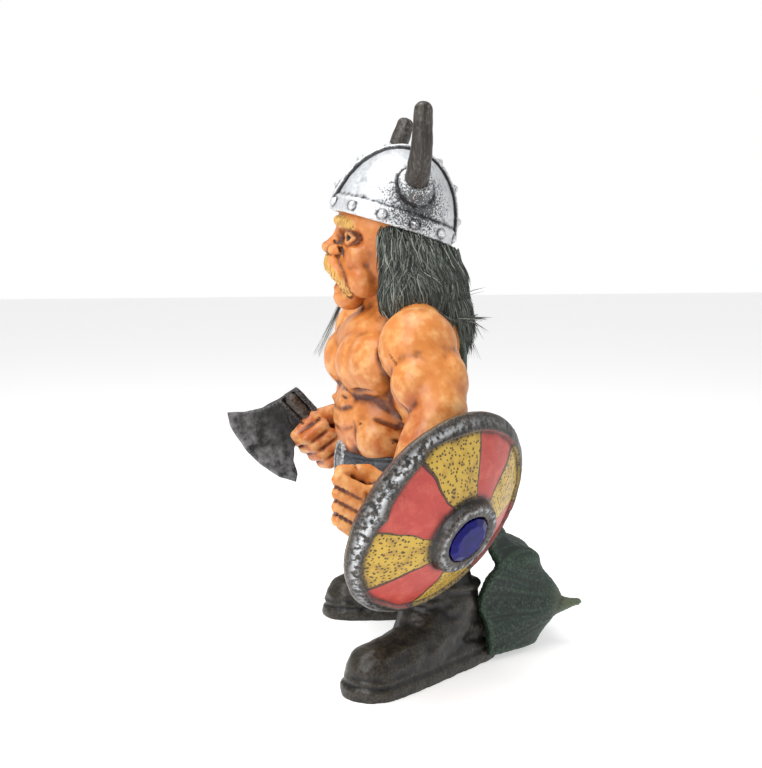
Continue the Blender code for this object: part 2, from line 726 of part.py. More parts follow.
def make_cape(material):
    """A heavy cloak: narrow behind the back, swept out behind the boots, with one corner drawn to a point."""
    bm = bmesh.new()
    columns, rows = 26, 30
    bmesh.ops.create_grid(bm, x_segments=columns, y_segments=rows, size=1)
    for vert in bm.verts:
        across, down = vert.co.x, (1 - vert.co.y) / 2
        vert.co = cape_point(across, down)
    bmesh.ops.recalc_face_normals(bm, faces=bm.faces)
    cape = object_from(bm, "cape")
    wall = cape.modifiers.new("Wall", "SOLIDIFY")
    wall.thickness = CAPE_THICKNESS
    wall.offset = 0
    wall.use_even_offset = True
    bake(cape)
    corner = bmesh.new()
    corner.from_mesh(cape.data)
    limb(corner, (16, 46, 13.5), (19.5, 56, 15), 6, 2.0)
    limb(corner, (19.5, 55.5, 15), (20.5, 59.5, 15.6), 1.9, 1.5)
    corner.to_mesh(cape.data)
    corner.free()
    joined(cape, COARSE_GRID, 2)
    cape.data.materials.append(material)
    return cape


def ease_between(value, places):
    """A smooth curve through (value, result) pairs in rising order."""
    for (a, x), (b, y) in zip(places, places[1:]):
        if value <= b:
            share = max(0.0, (value - a) / (b - a))
            share = share * share * (3 - 2 * share)
            return x + (y - x) * share
    return places[-1][1]


def cape_point(across, down):
    """Where a point of the cape lies: across from -1 at its right edge to 1 at its left, down from 0 to 1."""
    height = 115 - 113.2 * down
    half = ease_between(down, [(0, 22), (0.3, 15), (0.55, 15), (0.78, 26.5), (1, 26.5)])
    x = across * half + ease_between(down, [(0, -1), (0.55, 0), (0.78, 4), (1, 3)])
    back = ease_between(
        down, [(0, 18.5), (0.12, 20.5), (0.35, 20), (0.62, 29.5), (0.67, 31.5), (0.74, 44), (0.87, 52.5), (1, 43)]
    )
    upper_bow = ease_between(down, [(0, 5), (0.35, 2.5), (0.6, 3)]) * across * across
    edge = ease_between(down, [(0, 17), (0.75, 17), (0.86, 26), (1, 17)])
    turned = edge * max(0, x - 16) ** 2 / 13**2 + 4 * (max(0, 16 - x) / 40) ** 2
    lower = ease_between(down, [(0, 0), (0.5, 0), (0.75, 1), (1, 1)])
    folds = 1.2 * math.sin(across * 9 + down * 2) * min(1, down * 2)
    return spot(x, back - upper_bow * (1 - lower) - turned * lower + folds, height)


def wig_masses(bm):
    ball(bm, (0, 2.5, 134), (20.5, 17.5, 17))
    ball(bm, (0, 8, 125), (21.5, 14.5, 15))
    ball(bm, (0, 14, 115), (20, 11, 14))
    for side in (-1, 1):
        ball(bm, (side * 14, -1, 131), (8.2, 13, 17))
        ball(bm, (side * 18, 2.5, 123), (9.5, 11, 8.5))
        limb(bm, (side * 9, 17, 116), (side * 10, 21, 103), 7.5, 4)
    limb(bm, (0, 18, 114), (0, 22, 100), 7.5, 4)


def make_wig(figure, cape, material):
    """The pelt round the head. It falls outside the cape, so none of it is left between cape and back."""
    bm = bmesh.new()
    wig_masses(bm)
    bmesh.ops.transform(bm, matrix=HEAD_TURN, verts=bm.verts)
    wig = object_from(bm, "wig")
    joined(wig, COARSE_GRID, 3)
    for lock in range(-8, 9):
        angle = lock * math.radians(17)
        run = []
        for drop in (141, 132, 122, 112, 103):
            run.append((21 * math.sin(angle), 4 + 19 * math.cos(angle), drop))
        press(wig, run, 2.2, 1.1)
    brim = box_cutter("brim plane", HELMET_TURN, (60, 60, 40), (0, 0, 20 - 0.4))
    face = box_cutter("face opening", HEAD_TURN @ Matrix.Translation(spot(0, 0, 130)), (80, 40, 80), (0, -28.5, 0))
    cut(wig, brim)
    cut(wig, face)
    under_cape = box_cutter("under the cape", Matrix(), (46, 16.4, 31.4), (0, 13.4, 100))
    cut(wig, under_cape)
    remove(brim, face, under_cape)
    fitted(wig, WIG_FACES, figure, cape)
    wig.data.materials.append(material)
    return wig


def box_cutter(name, place, size, centre):
    bm = bmesh.new()
    shape = Matrix.Translation(Vector(centre) * U) @ Matrix.Diagonal((*(s * U for s in size), 1))
    bmesh.ops.create_cube(bm, size=1, matrix=place @ shape)
    return object_from(bm, name)


def clean(obj):
    """Joins points that a Boolean left on top of each other and takes out the slivers between them."""
    bm = bmesh.new()
    bm.from_mesh(obj.data)
    bmesh.ops.remove_doubles(bm, verts=bm.verts, dist=SLIVER)
    bmesh.ops.dissolve_degenerate(bm, edges=bm.edges, dist=SLIVER)
    bmesh.ops.triangulate(bm, faces=bm.faces)
    bm.to_mesh(obj.data)
    bm.free()


def largest(obj):
    """Keeps the biggest closed body of a mesh and drops any crumbs that a cut left."""
    bm = bmesh.new()
    bm.from_mesh(obj.data)
    left = set(bm.faces)
    groups = []
    while left:
        seed = left.pop()
        group, front = {seed}, [seed]
        while front:
            face = front.pop()
            for edge in face.edges:
                for other in edge.link_faces:
                    if other in left:
                        left.discard(other)
                        group.add(other)
                        front.append(other)
        groups.append(group)
    keep = max(groups, key=lambda g: sum(f.calc_area() for f in g))
    drop = [f for g in groups if g is not keep for f in g]
    bmesh.ops.delete(bm, geom=drop, context="FACES")
    bm.to_mesh(obj.data)
    bm.free()
    return obj


def stand_on_origin(pieces):
    """Hangs the pieces from one root, moved so that the middle of the bottom of them all is the origin."""
    places = [v.co for obj in pieces for v in obj.data.vertices]
    low, high = (Vector([pick(p[i] for p in places) for i in range(3)]) for pick in (min, max))
    root = bpy.data.objects.new("root", None)
    bpy.context.scene.collection.objects.link(root)
    root.location = (-(low.x + high.x) / 2, -(low.y + high.y) / 2, -low.z)
    for obj in pieces:
        obj.parent = root


def main():
    clear_scene()
    skin = paint("skin", (0.75, 0.32, 0.10), 0.5)
    silver = paint("helmet silver", (0.6, 0.6, 0.6), 0.35, 0.6)
    horn = paint("horn", (0.05, 0.045, 0.04), 0.5)
    fur = paint("grey fur", (0.12, 0.13, 0.11), 0.9)
    cloth = paint("cape green", (0.01, 0.04, 0.02), 0.8)
    shield_paint = paint("shield paint", (0.5, 0.12, 0.08), 0.45)
    stone = paint("blue stone", (0.01, 0.01, 0.25), 0.1)
    iron = paint("axe iron", (0.03, 0.03, 0.03), 0.4, 0.5)
    wood = paint("haft", (0.05, 0.03, 0.02), 0.6)

    figure = make_figure(skin)
    cap = bowl("helmet clearance", GAP)
    room = hollow("helmet room", GAP)
    cut(cap, room)
    grip = haft_solid("haft clearance", GAP, CUTTER_OVERRUN)
    axe = make_axe_head(iron)
    blade = swollen(axe, CARVED_GAP, BLADE_GRID, BLADE_FACES)
    thinned(figure, FIGURE_FACES, face_or_hand)
    for cutter in (cap, grip, blade):
        cut(figure, cutter)
    remove(cap, room, grip, blade)
    flat_base(largest(figure))

    helmet = make_helmet(silver)
    horns = [make_horn(side, horn) for side in (1, -1)]
    cape = make_cape(cloth)
    flat_base(fitted(cape, CAPE_FACES, figure), GAP)
    wig = make_wig(figure, cape, fur)
    shield = make_shield(shield_paint)
    for name, place in (("wrist block", spot(55.5, -15, 70)), ("arm block", spot(52.5, -3, 84))):
        block = arm_block(name, place)
        cut(shield, block, "UNION")
        remove(block)
    trim(shield, figure, CARVED_GAP)
    largest(shield)
    gem = make_gem(stone)
    haft = haft_solid("axe_handle", material=wood)

    stand_on_origin((figure, helmet, *horns, cape, wig, shield, gem, axe, haft))


main()
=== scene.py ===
# %% [markdown]
# # A painted viking figurine
# The real figurine is a hand-painted casting about 18.5 cm tall: a bare-chested warrior with a
# horned helmet, a wig of grey fur, a green cape, a domed shield and an axe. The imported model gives
# every piece its place. This lesson builds the finished surfaces over it, piece by piece.

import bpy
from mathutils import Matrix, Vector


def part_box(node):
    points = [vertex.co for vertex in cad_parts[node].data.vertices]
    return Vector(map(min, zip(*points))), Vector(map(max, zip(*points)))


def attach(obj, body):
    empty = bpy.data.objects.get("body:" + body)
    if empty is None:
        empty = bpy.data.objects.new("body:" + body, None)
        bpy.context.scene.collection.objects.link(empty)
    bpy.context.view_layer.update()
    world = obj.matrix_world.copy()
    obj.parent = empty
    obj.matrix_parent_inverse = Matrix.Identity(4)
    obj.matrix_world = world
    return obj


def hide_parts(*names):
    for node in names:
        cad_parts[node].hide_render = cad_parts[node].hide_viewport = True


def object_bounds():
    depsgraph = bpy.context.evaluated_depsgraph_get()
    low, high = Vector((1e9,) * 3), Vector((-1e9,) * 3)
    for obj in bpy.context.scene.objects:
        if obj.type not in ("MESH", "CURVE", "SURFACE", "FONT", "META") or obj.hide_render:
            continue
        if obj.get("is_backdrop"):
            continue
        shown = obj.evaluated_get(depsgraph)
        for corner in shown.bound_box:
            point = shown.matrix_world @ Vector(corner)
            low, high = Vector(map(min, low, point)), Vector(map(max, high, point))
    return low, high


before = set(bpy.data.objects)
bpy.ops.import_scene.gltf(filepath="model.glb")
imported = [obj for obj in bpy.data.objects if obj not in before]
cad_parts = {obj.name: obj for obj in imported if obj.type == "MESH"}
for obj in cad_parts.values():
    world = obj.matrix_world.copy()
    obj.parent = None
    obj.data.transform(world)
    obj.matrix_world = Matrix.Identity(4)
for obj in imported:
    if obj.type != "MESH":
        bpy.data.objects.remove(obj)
cad_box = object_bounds()
print("packed box", [tuple(round(v, 4) for v in corner) for corner in cad_box])

# %% [markdown]
# ## Places and units
# The carving is planned in millimetres round the figure's own upright axis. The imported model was
# moved so that the middle of its whole box is the origin, so the stone in the shield, whose middle
# is known in both, gives the shift between the two.

# %% Units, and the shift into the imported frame
import math
import random

import bmesh
import bpy
import numpy as np
from mathutils import Matrix, Vector, noise
from mathutils.bvhtree import BVHTree

MM = 0.001
STONE_MIDDLE = Vector((67.2, 4.05, 52.9)) * MM
stone_low, stone_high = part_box("shield_gem")
SHIFT = (stone_low + stone_high) / 2 - STONE_MIDDLE
print("shift in mm", [round(v / MM, 2) for v in SHIFT])


def spot(x, y, z):
    """A place on the figure, from millimetres."""
    return Vector((x, y, z)) * MM


def turned_about(pivot, degrees):
    """A turn round the upright axis through a place."""
    turn = Matrix.Rotation(math.radians(degrees), 4, "Z")
    return Matrix.Translation(pivot) @ turn @ Matrix.Translation(-pivot)


NECK = spot(0, 0, 122)
HEAD_TURN = turned_about(NECK, -11)
BRIM_CENTRE = spot(0, -3.4, 145.4)
HELMET_TURN = (
    turned_about(NECK, -8) @ Matrix.Translation(BRIM_CENTRE) @ Matrix.Rotation(math.radians(-17.4), 4, "X")
)
LEFT_FIST = spot(56.5, -25.5, 62.5)
RIGHT_FIST = spot(-41, -17.7, 66.5)
HAFT_TOP = spot(-41, -33.7, 83.6)
SHIELD_CENTRE = spot(55.5, -3.1, 58.9)
SHIELD_AXIS = Vector((0.782, 0.477, -0.401)).normalized()

# %% [markdown]
# ## The camera
# The photograph looks at the figure's left side from a little above, at about 77 degrees round from
# the front. The camera comes first, so that every later look at the scene is from the same place.

# %% Camera
CAMERA_PLACE = spot(383.4, -95.3, 138.0)
CAMERA_ROUND = 77
FOCAL_PIXELS = 1140
FRAME_PIXELS = 768
HORIZON_PIXELS = 134

camera_data = bpy.data.cameras.new("camera")
camera_data.sensor_width = 36
camera_data.lens = 36 * FOCAL_PIXELS / FRAME_PIXELS
camera_data.clip_start, camera_data.clip_end = 0.02, 20
camera = bpy.data.objects.new("camera", camera_data)
camera.location = CAMERA_PLACE + SHIFT
look_down = math.atan(HORIZON_PIXELS / FOCAL_PIXELS)
camera.rotation_euler = (math.pi / 2 - look_down, 0, math.radians(CAMERA_ROUND))
bpy.context.scene.collection.objects.link(camera)
bpy.context.scene.camera = camera

# %% [markdown]
# ## Floor and light
# A pale floor gives the photograph's white ground with its soft shadow. A large softbox from the
# camera's left, one from above and a dim room light the figure. Behind it the room is a lit white wall.

# %% Floor and lights
FLOOR_REACH = 3.0
FLOOR_GLOW = 0.5
ROOM_LIGHT, WALL_LIGHT = 0.42, 1.0
WALL_STARTS, WALL_IS_FULL = 0.80, 0.88


def plain_material(name, colour, roughness):
    material = bpy.data.materials.new(name)
    material.use_nodes = True
    shader = material.node_tree.nodes["Principled BSDF"]
    shader.inputs["Base Color"].default_value = (*colour, 1)
    shader.inputs["Roughness"].default_value = roughness
    return material


floor_shape = bmesh.new()
bmesh.ops.create_grid(floor_shape, x_segments=2, y_segments=2, size=FLOOR_REACH)
floor_mesh = bpy.data.meshes.new("floor")
floor_shape.to_mesh(floor_mesh)
floor_shape.free()
floor_material = plain_material("pale floor", (0.8, 0.8, 0.8), 0.7)
floor_shader = floor_material.node_tree.nodes["Principled BSDF"]
floor_shader.inputs["Emission Color"].default_value = (1, 1, 1, 1)
floor_shader.inputs["Emission Strength"].default_value = FLOOR_GLOW
floor_mesh.materials.append(floor_material)
floor = bpy.data.objects.new("floor", floor_mesh)
bpy.context.scene.collection.objects.link(floor)
floor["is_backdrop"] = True

world = bpy.data.worlds.new("white room")
world.use_nodes = True
room = world.node_tree
room.nodes["Background"].inputs["Color"].default_value = (1, 1, 1, 1)
ahead = camera.rotation_euler.to_matrix() @ Vector((0, 0, -1))
facing = room.nodes.new("ShaderNodeVectorMath")
facing.operation = "DOT_PRODUCT"
facing.inputs[1].default_value = ahead
room.links.new(room.nodes.new("ShaderNodeTexCoord").outputs["Generated"], facing.inputs[0])
wall_light = room.nodes.new("ShaderNodeMapRange")
wall_values = (WALL_STARTS, WALL_IS_FULL, ROOM_LIGHT, WALL_LIGHT)
for key, value in zip(("From Min", "From Max", "To Min", "To Max"), wall_values):
    wall_light.inputs[key].default_value = value
room.links.new(facing.outputs["Value"], wall_light.inputs["Value"])
room.links.new(wall_light.outputs["Result"], room.nodes["Background"].inputs["Strength"])
bpy.context.scene.world = world


def softbox(name, place, aim, size, watts):
    """A square light at one place, aimed at another."""
    data = bpy.data.lights.new(name, "AREA")
    data.size = size
    data.energy = watts
    light = bpy.data.objects.new(name, data)
    light.location = spot(*place)
    light.rotation_euler = (spot(*aim) - light.location).to_track_quat("-Z", "Y").to_euler()
    bpy.context.scene.collection.objects.link(light)


softbox("front softbox", (420, -520, 420), (0, 0, 95), 0.35, 2.4)
softbox("top softbox", (60, -160, 700), (0, 0, 90), 0.5, 3.2)
softbox("back softbox", (80, 560, 300), (0, 0, 90), 0.5, 0.4)
bpy.context.scene.view_settings.view_transform = "Standard"

# %% [markdown]
# ## Clay: masses joined on a grid
# A sculptor blocks a body out with balls and rolls of clay and then smears them together. Here the
# balls and rolls are bmesh spheres, and Blender's voxel remesh smears them. A finer grid keeps
# finer forms, so the face gets about a third of a millimetre and the body half a millimetre.

# %% Balls, rolls and the joining grid
def ball(bm, centre, radii, turn=Matrix()):
    """An ellipsoid about a place."""
    size = Matrix.Diagonal((*(r * MM for r in radii), 1))
    place = Matrix.Translation(spot(*centre))
    bmesh.ops.create_icosphere(bm, subdivisions=4, radius=1, matrix=place @ turn @ size)


def roll(bm, start, end, start_radius, end_radius):
    """A tapered roll: a ball whose two halves are drawn apart to the two ends."""
    a, b = spot(*start), spot(*end)
    turn = (b - a).to_track_quat("Z", "Y").to_matrix()
    made = bmesh.ops.create_uvsphere(bm, u_segments=24, v_segments=16, radius=1)
    for vert in made["verts"]:
        top = vert.co.z > 0
        radius = (end_radius if top else start_radius) * MM
        vert.co = (b if top else a) + turn @ (vert.co * radius)


def run_of_rolls(bm, joints):
    """Rolls through a run of (place, radius) pairs."""
    for (start, a), (end, b) in zip(joints, joints[1:]):
        roll(bm, start, end, a, b)


def spun(bm, edges, steps):
    """Turns edges once round Z."""
    bmesh.ops.spin(
        bm, geom=edges, axis=(0, 0, 1), cent=(0, 0, 0), steps=steps, angle=2 * math.pi, use_merge=True
    )


def skinned(bm, rows):
    """Joins rows of points, all of one length, into a tube with both ends closed."""
    for a, b in zip(rows, rows[1:]):
        for k in range(len(a)):
            after = (k + 1) % len(a)
            bm.faces.new([a[k], a[after], b[after], b[k]])
    for row in (rows[0], rows[-1]):
        bm.faces.new(row)
    bmesh.ops.recalc_face_normals(bm, faces=bm.faces)


def object_from(bm, name):
    mesh = bpy.data.meshes.new(name)
    bm.to_mesh(mesh)
    bm.free()
    obj = bpy.data.objects.new(name, mesh)
    bpy.context.scene.collection.objects.link(obj)
    return obj


def baked(obj):
    """Turns an object's modifiers into its mesh."""
    graph = bpy.context.evaluated_depsgraph_get()
    mesh = bpy.data.meshes.new_from_object(obj.evaluated_get(graph))
    obj.modifiers.clear()
    obj.data = mesh
    return obj


def cut_out(obj, bm):
    """Cuts a shape out of an object."""
    cutter = object_from(bm, "cutter")
    boolean = obj.modifiers.new("Cut", "BOOLEAN")
    boolean.operation = "DIFFERENCE"
    boolean.object = cutter
    baked(obj)
    bpy.data.objects.remove(cutter)


def smeared(obj, grid, rounds=2):
    """Joins the clay in an object into one skin, and eases the steps that the grid leaves."""
    remesh = obj.modifiers.new("Join", "REMESH")
    remesh.mode = "VOXEL"
    remesh.voxel_size = grid
    ease = obj.modifiers.new("Ease", "SMOOTH")
    ease.factor = 0.5
    ease.iterations = rounds
    return baked(obj)


def sculpted(name, masses, details, coarse, rounds, grid, ease=4, hollows=()):
    """Smears the big masses together on a coarse grid, then joins the small ones on a fine grid."""
    base = smeared(object_from(masses, name + " masses"), coarse, rounds)
    carve(base, hollows)
    details.from_mesh(base.data)
    bpy.data.objects.remove(base)
    return smeared(object_from(details, name), grid, ease)


# %% [markdown]
# ## Carving and marking
# A knife stroke pushes the skin in along a run of places, and a bead of clay pushes it out. The same
# runs can mark where another paint goes. Reading and writing the points through numpy keeps a hundred
# strokes on a hundred thousand points quick.

# %% Strokes and marks
MARK_SHARPNESS = 2.5


def points_of(mesh, what="co"):
    values = np.empty(len(mesh.vertices) * 3)
    mesh.vertices.foreach_get(what, values)
    return values.reshape(-1, 3)


def put_points(mesh, places):
    mesh.vertices.foreach_set("co", places.ravel())
    mesh.update()


def kept(obj, name):
    """The values stored for each point under a name, or zeros."""
    values = np.zeros(len(obj.data.vertices), np.float32)
    if name in obj.data.attributes:
        obj.data.attributes[name].data.foreach_get("value", values)
    return values


def keep(obj, name, values):
    """Stores one value for each point under a name, for the paint to read."""
    layer = obj.data.attributes.get(name) or obj.data.attributes.new(name, "FLOAT", "POINT")
    layer.data.foreach_set("value", np.asarray(values, np.float32))


def nearness(places, run, width, place=None):
    """From 1 on a run of places down to 0 at a width from it."""
    knots = [np.array((place or Matrix()) @ spot(*p)) for p in run]
    if len(knots) == 1:
        knots *= 2
    far = np.full(len(places), np.inf)
    for a, b in zip(knots, knots[1:]):
        along = b - a
        share = np.clip((places - a) @ along / max(along @ along, 1e-12), 0, 1)
        far = np.minimum(far, np.linalg.norm(places - a - share[:, None] * along, axis=1))
    return np.clip(1 - (far / (width * MM)) ** 2, 0, 1) ** 2


def carve(obj, strokes, place=None):
    """Knife strokes, each (run, width, depth) in millimetres. A negative depth adds a bead instead."""
    for run, width, depth in strokes:
        places, normals = points_of(obj.data), points_of(obj.data, "normal")
        put_points(obj.data, places - normals * (depth * MM * nearness(places, run, width, place))[:, None])


def mark(obj, name, runs, width, place=None, strength=1.0):
    """Adds a paint mask along runs of places, kept as an attribute of the mesh."""
    values, places = kept(obj, name), points_of(obj.data)
    for run in runs:
        near = np.clip(nearness(places, run, width, place) * MARK_SHARPNESS, 0, 1) * strength
        values = np.maximum(values, near)
    keep(obj, name, values)


def mirrored(run):
    return [(-x, y, z) for x, y, z in run]


def both_sides(strokes):
    return strokes + [(mirrored(run), width, depth) for run, width, depth in strokes]


def roughen(obj, grain, height, stretch=(1, 1, 1), only=None):
    """Uneven hand work: moves each point in or out by smooth noise of a grain size in millimetres."""
    places, normals = points_of(obj.data), points_of(obj.data, "normal")
    scale = Vector(stretch) / (grain * MM)
    lift = np.array([noise.noise(Vector(p) * scale) for p in places])
    if only is not None:
        lift *= only
    put_points(obj.data, places + normals * (lift * height * MM)[:, None])


# %% [markdown]
# ## Where the painted shade and highlight go
# Dark paint in the hollows stands for the shade that gathers there, and light paint over what stands
# proud stands for its highlights: painted shade and painted highlight. Both follow the relief. Easing
# a copy of the mesh and comparing it with the carved one tells hollows from ridges, at three sizes at once.

# %% Hollow and ridge masks
EASINGS = ((4, 0.05), (24, 0.22), (90, 0.75))
SKIN_EASINGS = ((4, 0.11), (24, 0.34), (90, 0.9))
FULL_MASK = 1.6


def relief_masks(obj, easings=EASINGS):
    """Stores hollow and ridge masks. Each easing is its rounds and the depth in mm that fills its mask."""
    mesh = obj.data
    count = len(mesh.vertices)
    places, normals = points_of(mesh), points_of(mesh, "normal")
    ends = np.empty(len(mesh.edges) * 2, np.int64)
    mesh.edges.foreach_get("vertices", ends)
    ends = ends.reshape(-1, 2)
    valence = np.maximum(np.bincount(ends.ravel(), minlength=count), 1)
    eased = places.copy()
    hollow, ridge = np.zeros(count), np.zeros(count)
    done = 0
    for rounds, depth in easings:
        for _ in range(rounds - done):
            total = np.empty_like(eased)
            for axis in range(3):
                total[:, axis] = np.bincount(ends[:, 0], eased[ends[:, 1], axis], count)
                total[:, axis] += np.bincount(ends[:, 1], eased[ends[:, 0], axis], count)
            eased = 0.5 * eased + 0.5 * total / valence[:, None]
        done = rounds
        sunk = ((eased - places) * normals).sum(axis=1) / (depth * MM)
        hollow += np.clip(sunk, 0, 1)
        ridge += np.clip(-sunk, 0, 1)
    for name, values in (("hollow", hollow), ("ridge", ridge)):
        keep(obj, name, np.clip(values / FULL_MASK, 0, 1))


def settled(obj, name, material, replaced=()):
    obj.name = obj.data.name = name
    obj.data.transform(Matrix.Translation(SHIFT))
    obj.data.materials.clear()
    obj.data.materials.append(material)
    obj.data.shade_smooth()
    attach(obj, "root")
    if replaced:
        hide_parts(*replaced)
    print(name, sum(len(face.vertices) - 2 for face in obj.data.polygons), "triangles")
    return obj


# %% [markdown]
# ## Shared paint effects
# Nearly every surface here shows the same three effects: small specks, drawn-out brush streaks, and
# painted shade in the hollows with painted highlight on the ridges. Each is a node group, built once
# and placed in the materials with its own values. They read Object coordinates, so the paint stays on
# the piece in any view.

# %% A short way to add nodes
def add_node(tree, kind, inputs=(), **settings):
    """Adds a node, sets its options, and fills its inputs with values or with other nodes' outputs."""
    node = tree.nodes.new(kind)
    for key, value in settings.items():
        setattr(node, key, value)
    for key, value in dict(inputs).items():
        if isinstance(value, bpy.types.NodeSocket):
            tree.links.new(value, node.inputs[key])
        else:
            node.inputs[key].default_value = value
    return node


def new_group(name, inputs, outputs):
    """A shader node group with named sockets. Returns it with its input and output nodes."""
    tree = bpy.data.node_groups.new(name, "ShaderNodeTree")
    for title, kind, start in inputs:
        socket = tree.interface.new_socket(title, in_out="INPUT", socket_type="NodeSocket" + kind)
        if start is not None:
            socket.default_value = start
    for title, kind in outputs:
        tree.interface.new_socket(title, in_out="OUTPUT", socket_type="NodeSocket" + kind)
    return tree, tree.nodes.new("NodeGroupInput"), tree.nodes.new("NodeGroupOutput")


def math_node(tree, operation, a, b=0.0, clamp=False):
    return add_node(tree, "ShaderNodeMath", {0: a, 1: b}, operation=operation, use_clamp=clamp).outputs[0]


def times(tree, a, b, clamp=False):
    return math_node(tree, "MULTIPLY", a, b, clamp)


def mix_colour(tree, factor, a, b, blend="MIX"):
    node = add_node(
        tree, "ShaderNodeMix", {"Factor": factor, 6: a, 7: b}, data_type="RGBA", blend_type=blend
    )
    return node.outputs[2]


def soft_mask(group, inner, outer, vector, scale, detail, roughness):
    """Cuts a noise off above its cover, with a soft edge, and gives it out as the group's mask."""
    values = {"Vector": vector, "Scale": scale, "Detail": detail, "Roughness": roughness}
    grain = add_node(group, "ShaderNodeTexNoise", values)
    low = math_node(group, "SUBTRACT", 1.0, inner.outputs["Cover"])
    high = math_node(group, "ADD", low, inner.outputs["Softness"])
    values = {"Value": grain.outputs["Fac"], "From Min": low, "From Max": high}
    edge = add_node(group, "ShaderNodeMapRange", values)
    group.links.new(edge.outputs["Result"], outer.inputs["Mask"])


# %% Specks and streaks
speck_inputs = [("Vector", "Vector", None), ("Size mm", "Float", 1.0)]
speck_inputs += [("Cover", "Float", 0.5), ("Softness", "Float", 0.04)]
speck_group, speck_in, speck_out = new_group("Specks", speck_inputs, [("Mask", "Float")])
size_in_metres = times(speck_group, speck_in.outputs["Size mm"], MM)
speck_scale = math_node(speck_group, "DIVIDE", 1.0, size_in_metres)
soft_mask(speck_group, speck_in, speck_out, speck_in.outputs["Vector"], speck_scale, 2.0, 0.6)

streak_inputs = [("Vector", "Vector", None), ("Squeeze", "Vector", (900, 900, 120))]
streak_inputs += [("Cover", "Float", 0.5), ("Softness", "Float", 0.2)]
streak_group, streak_in, streak_out = new_group("Streaks", streak_inputs, [("Mask", "Float")])
squeezed = add_node(
    streak_group,
    "ShaderNodeVectorMath",
    {0: streak_in.outputs["Vector"], 1: streak_in.outputs["Squeeze"]},
    operation="MULTIPLY",
)
soft_mask(streak_group, streak_in, streak_out, squeezed.outputs["Vector"], 1.0, 3.0, 0.65)

# %% Painted shade and highlight
shading_group, shading_in, shading_out = new_group(
    "Painted shade and highlight",
    [
        ("Vector", "Vector", None),
        ("Colour", "Color", None),
        ("Painted shade", "Color", None),
        ("Lift", "Color", None),
        ("Hollow", "Float", 0.0),
        ("Ridge", "Float", 0.0),
        ("Painted shade strength", "Float", 1.0),
        ("Painted highlight strength", "Float", 0.5),
        ("Grain mm", "Float", 0.8),
    ],
    [("Colour", "Color")],
)
from_group = shading_in.outputs
speck_values = {"Vector": from_group["Vector"], "Size mm": from_group["Grain mm"]}
speck_values |= {"Cover": 0.6, "Softness": 0.25}
shading_specks = add_node(shading_group, "ShaderNodeGroup", speck_values, node_tree=speck_group).outputs["Mask"]
share_values = {"Value": shading_specks, "To Min": 0.8, "To Max": 1.08}
speck_share = add_node(shading_group, "ShaderNodeMapRange", share_values)
# Painted shade: the dark colour goes where the surface is hollow.
shade_amount = times(shading_group, from_group["Hollow"], from_group["Painted shade strength"])
shade_amount = times(shading_group, shade_amount, speck_share.outputs["Result"], clamp=True)
# Painted highlight: the light colour goes on the ridges.
highlight_amount = times(shading_group, from_group["Ridge"], from_group["Painted highlight strength"])
highlight_amount = times(shading_group, highlight_amount, shading_specks, clamp=True)
highlighted = mix_colour(shading_group, highlight_amount, from_group["Colour"], from_group["Lift"])
shaded = mix_colour(shading_group, shade_amount, highlighted, from_group["Painted shade"])
shading_group.links.new(shaded, shading_out.inputs["Colour"])
print("node groups", [g.name for g in bpy.data.node_groups])

# %% [markdown]
# ## Painted surfaces
# Skin, boots, belt and horns are all painted casting, so one maker builds them from their own base
# colour, a painted-shade colour and a painted-highlight colour. Colours are given as the eye sees
# them, out of 255, and turned into the linear values that the shader works with.

# %% Painted materials
def seen(red, green, blue):
    """A colour as the eye sees it, out of 255, as the shader's linear value."""
    parts = (red, green, blue)
    return (*(((v / 255 + 0.055) / 1.055) ** 2.4 if v > 10 else v / 255 / 12.92 for v in parts), 1.0)


def start_material(name, roughness, **constants):
    """A material with its shader, Object coordinates and the relief masks ready."""
    material = bpy.data.materials.new(name)
    material.use_nodes = True
    tree = material.node_tree
    shader = tree.nodes["Principled BSDF"]
    shader.inputs["Roughness"].default_value = roughness
    for key, value in constants.items():
        shader.inputs[key.replace("_", " ")].default_value = value
    coordinates = tree.nodes.new("ShaderNodeTexCoord").outputs["Object"]
    return material, tree, shader, coordinates


def mask(tree, name):
    return add_node(tree, "ShaderNodeAttribute", attribute_name=name).outputs["Fac"]


def specks(tree, vector, size, cover, softness):
    values = {"Vector": vector, "Size mm": size, "Cover": cover, "Softness": softness}
    return add_node(tree, "ShaderNodeGroup", values, node_tree=speck_group).outputs["Mask"]


def streaks(tree, vector, squeeze, cover, softness):
    values = {"Vector": vector, "Squeeze": squeeze, "Cover": cover, "Softness": softness}
    return add_node(tree, "ShaderNodeGroup", values, node_tree=streak_group).outputs["Mask"]


def bump(tree, shader, height, depth_mm, strength=1.0):
    values = {"Height": height, "Strength": strength, "Distance": depth_mm * MM}
    tree.links.new(add_node(tree, "ShaderNodeBump", values).outputs["Normal"], shader.inputs["Normal"])


def shade_and_highlight(tree, vector, colour, shade_colour, lift, shade_strength, highlight_strength, grain):
    """A colour with painted shade in its hollows and painted highlight on its ridges."""
    values = {
        "Vector": vector,
        "Colour": colour,
        "Painted shade": shade_colour,
        "Lift": lift,
        "Hollow": mask(tree, "hollow"),
        "Ridge": mask(tree, "ridge"),
        "Painted shade strength": shade_strength,
        "Painted highlight strength": highlight_strength,
        "Grain mm": grain,
    }
    return add_node(tree, "ShaderNodeGroup", values, node_tree=shading_group).outputs["Colour"]


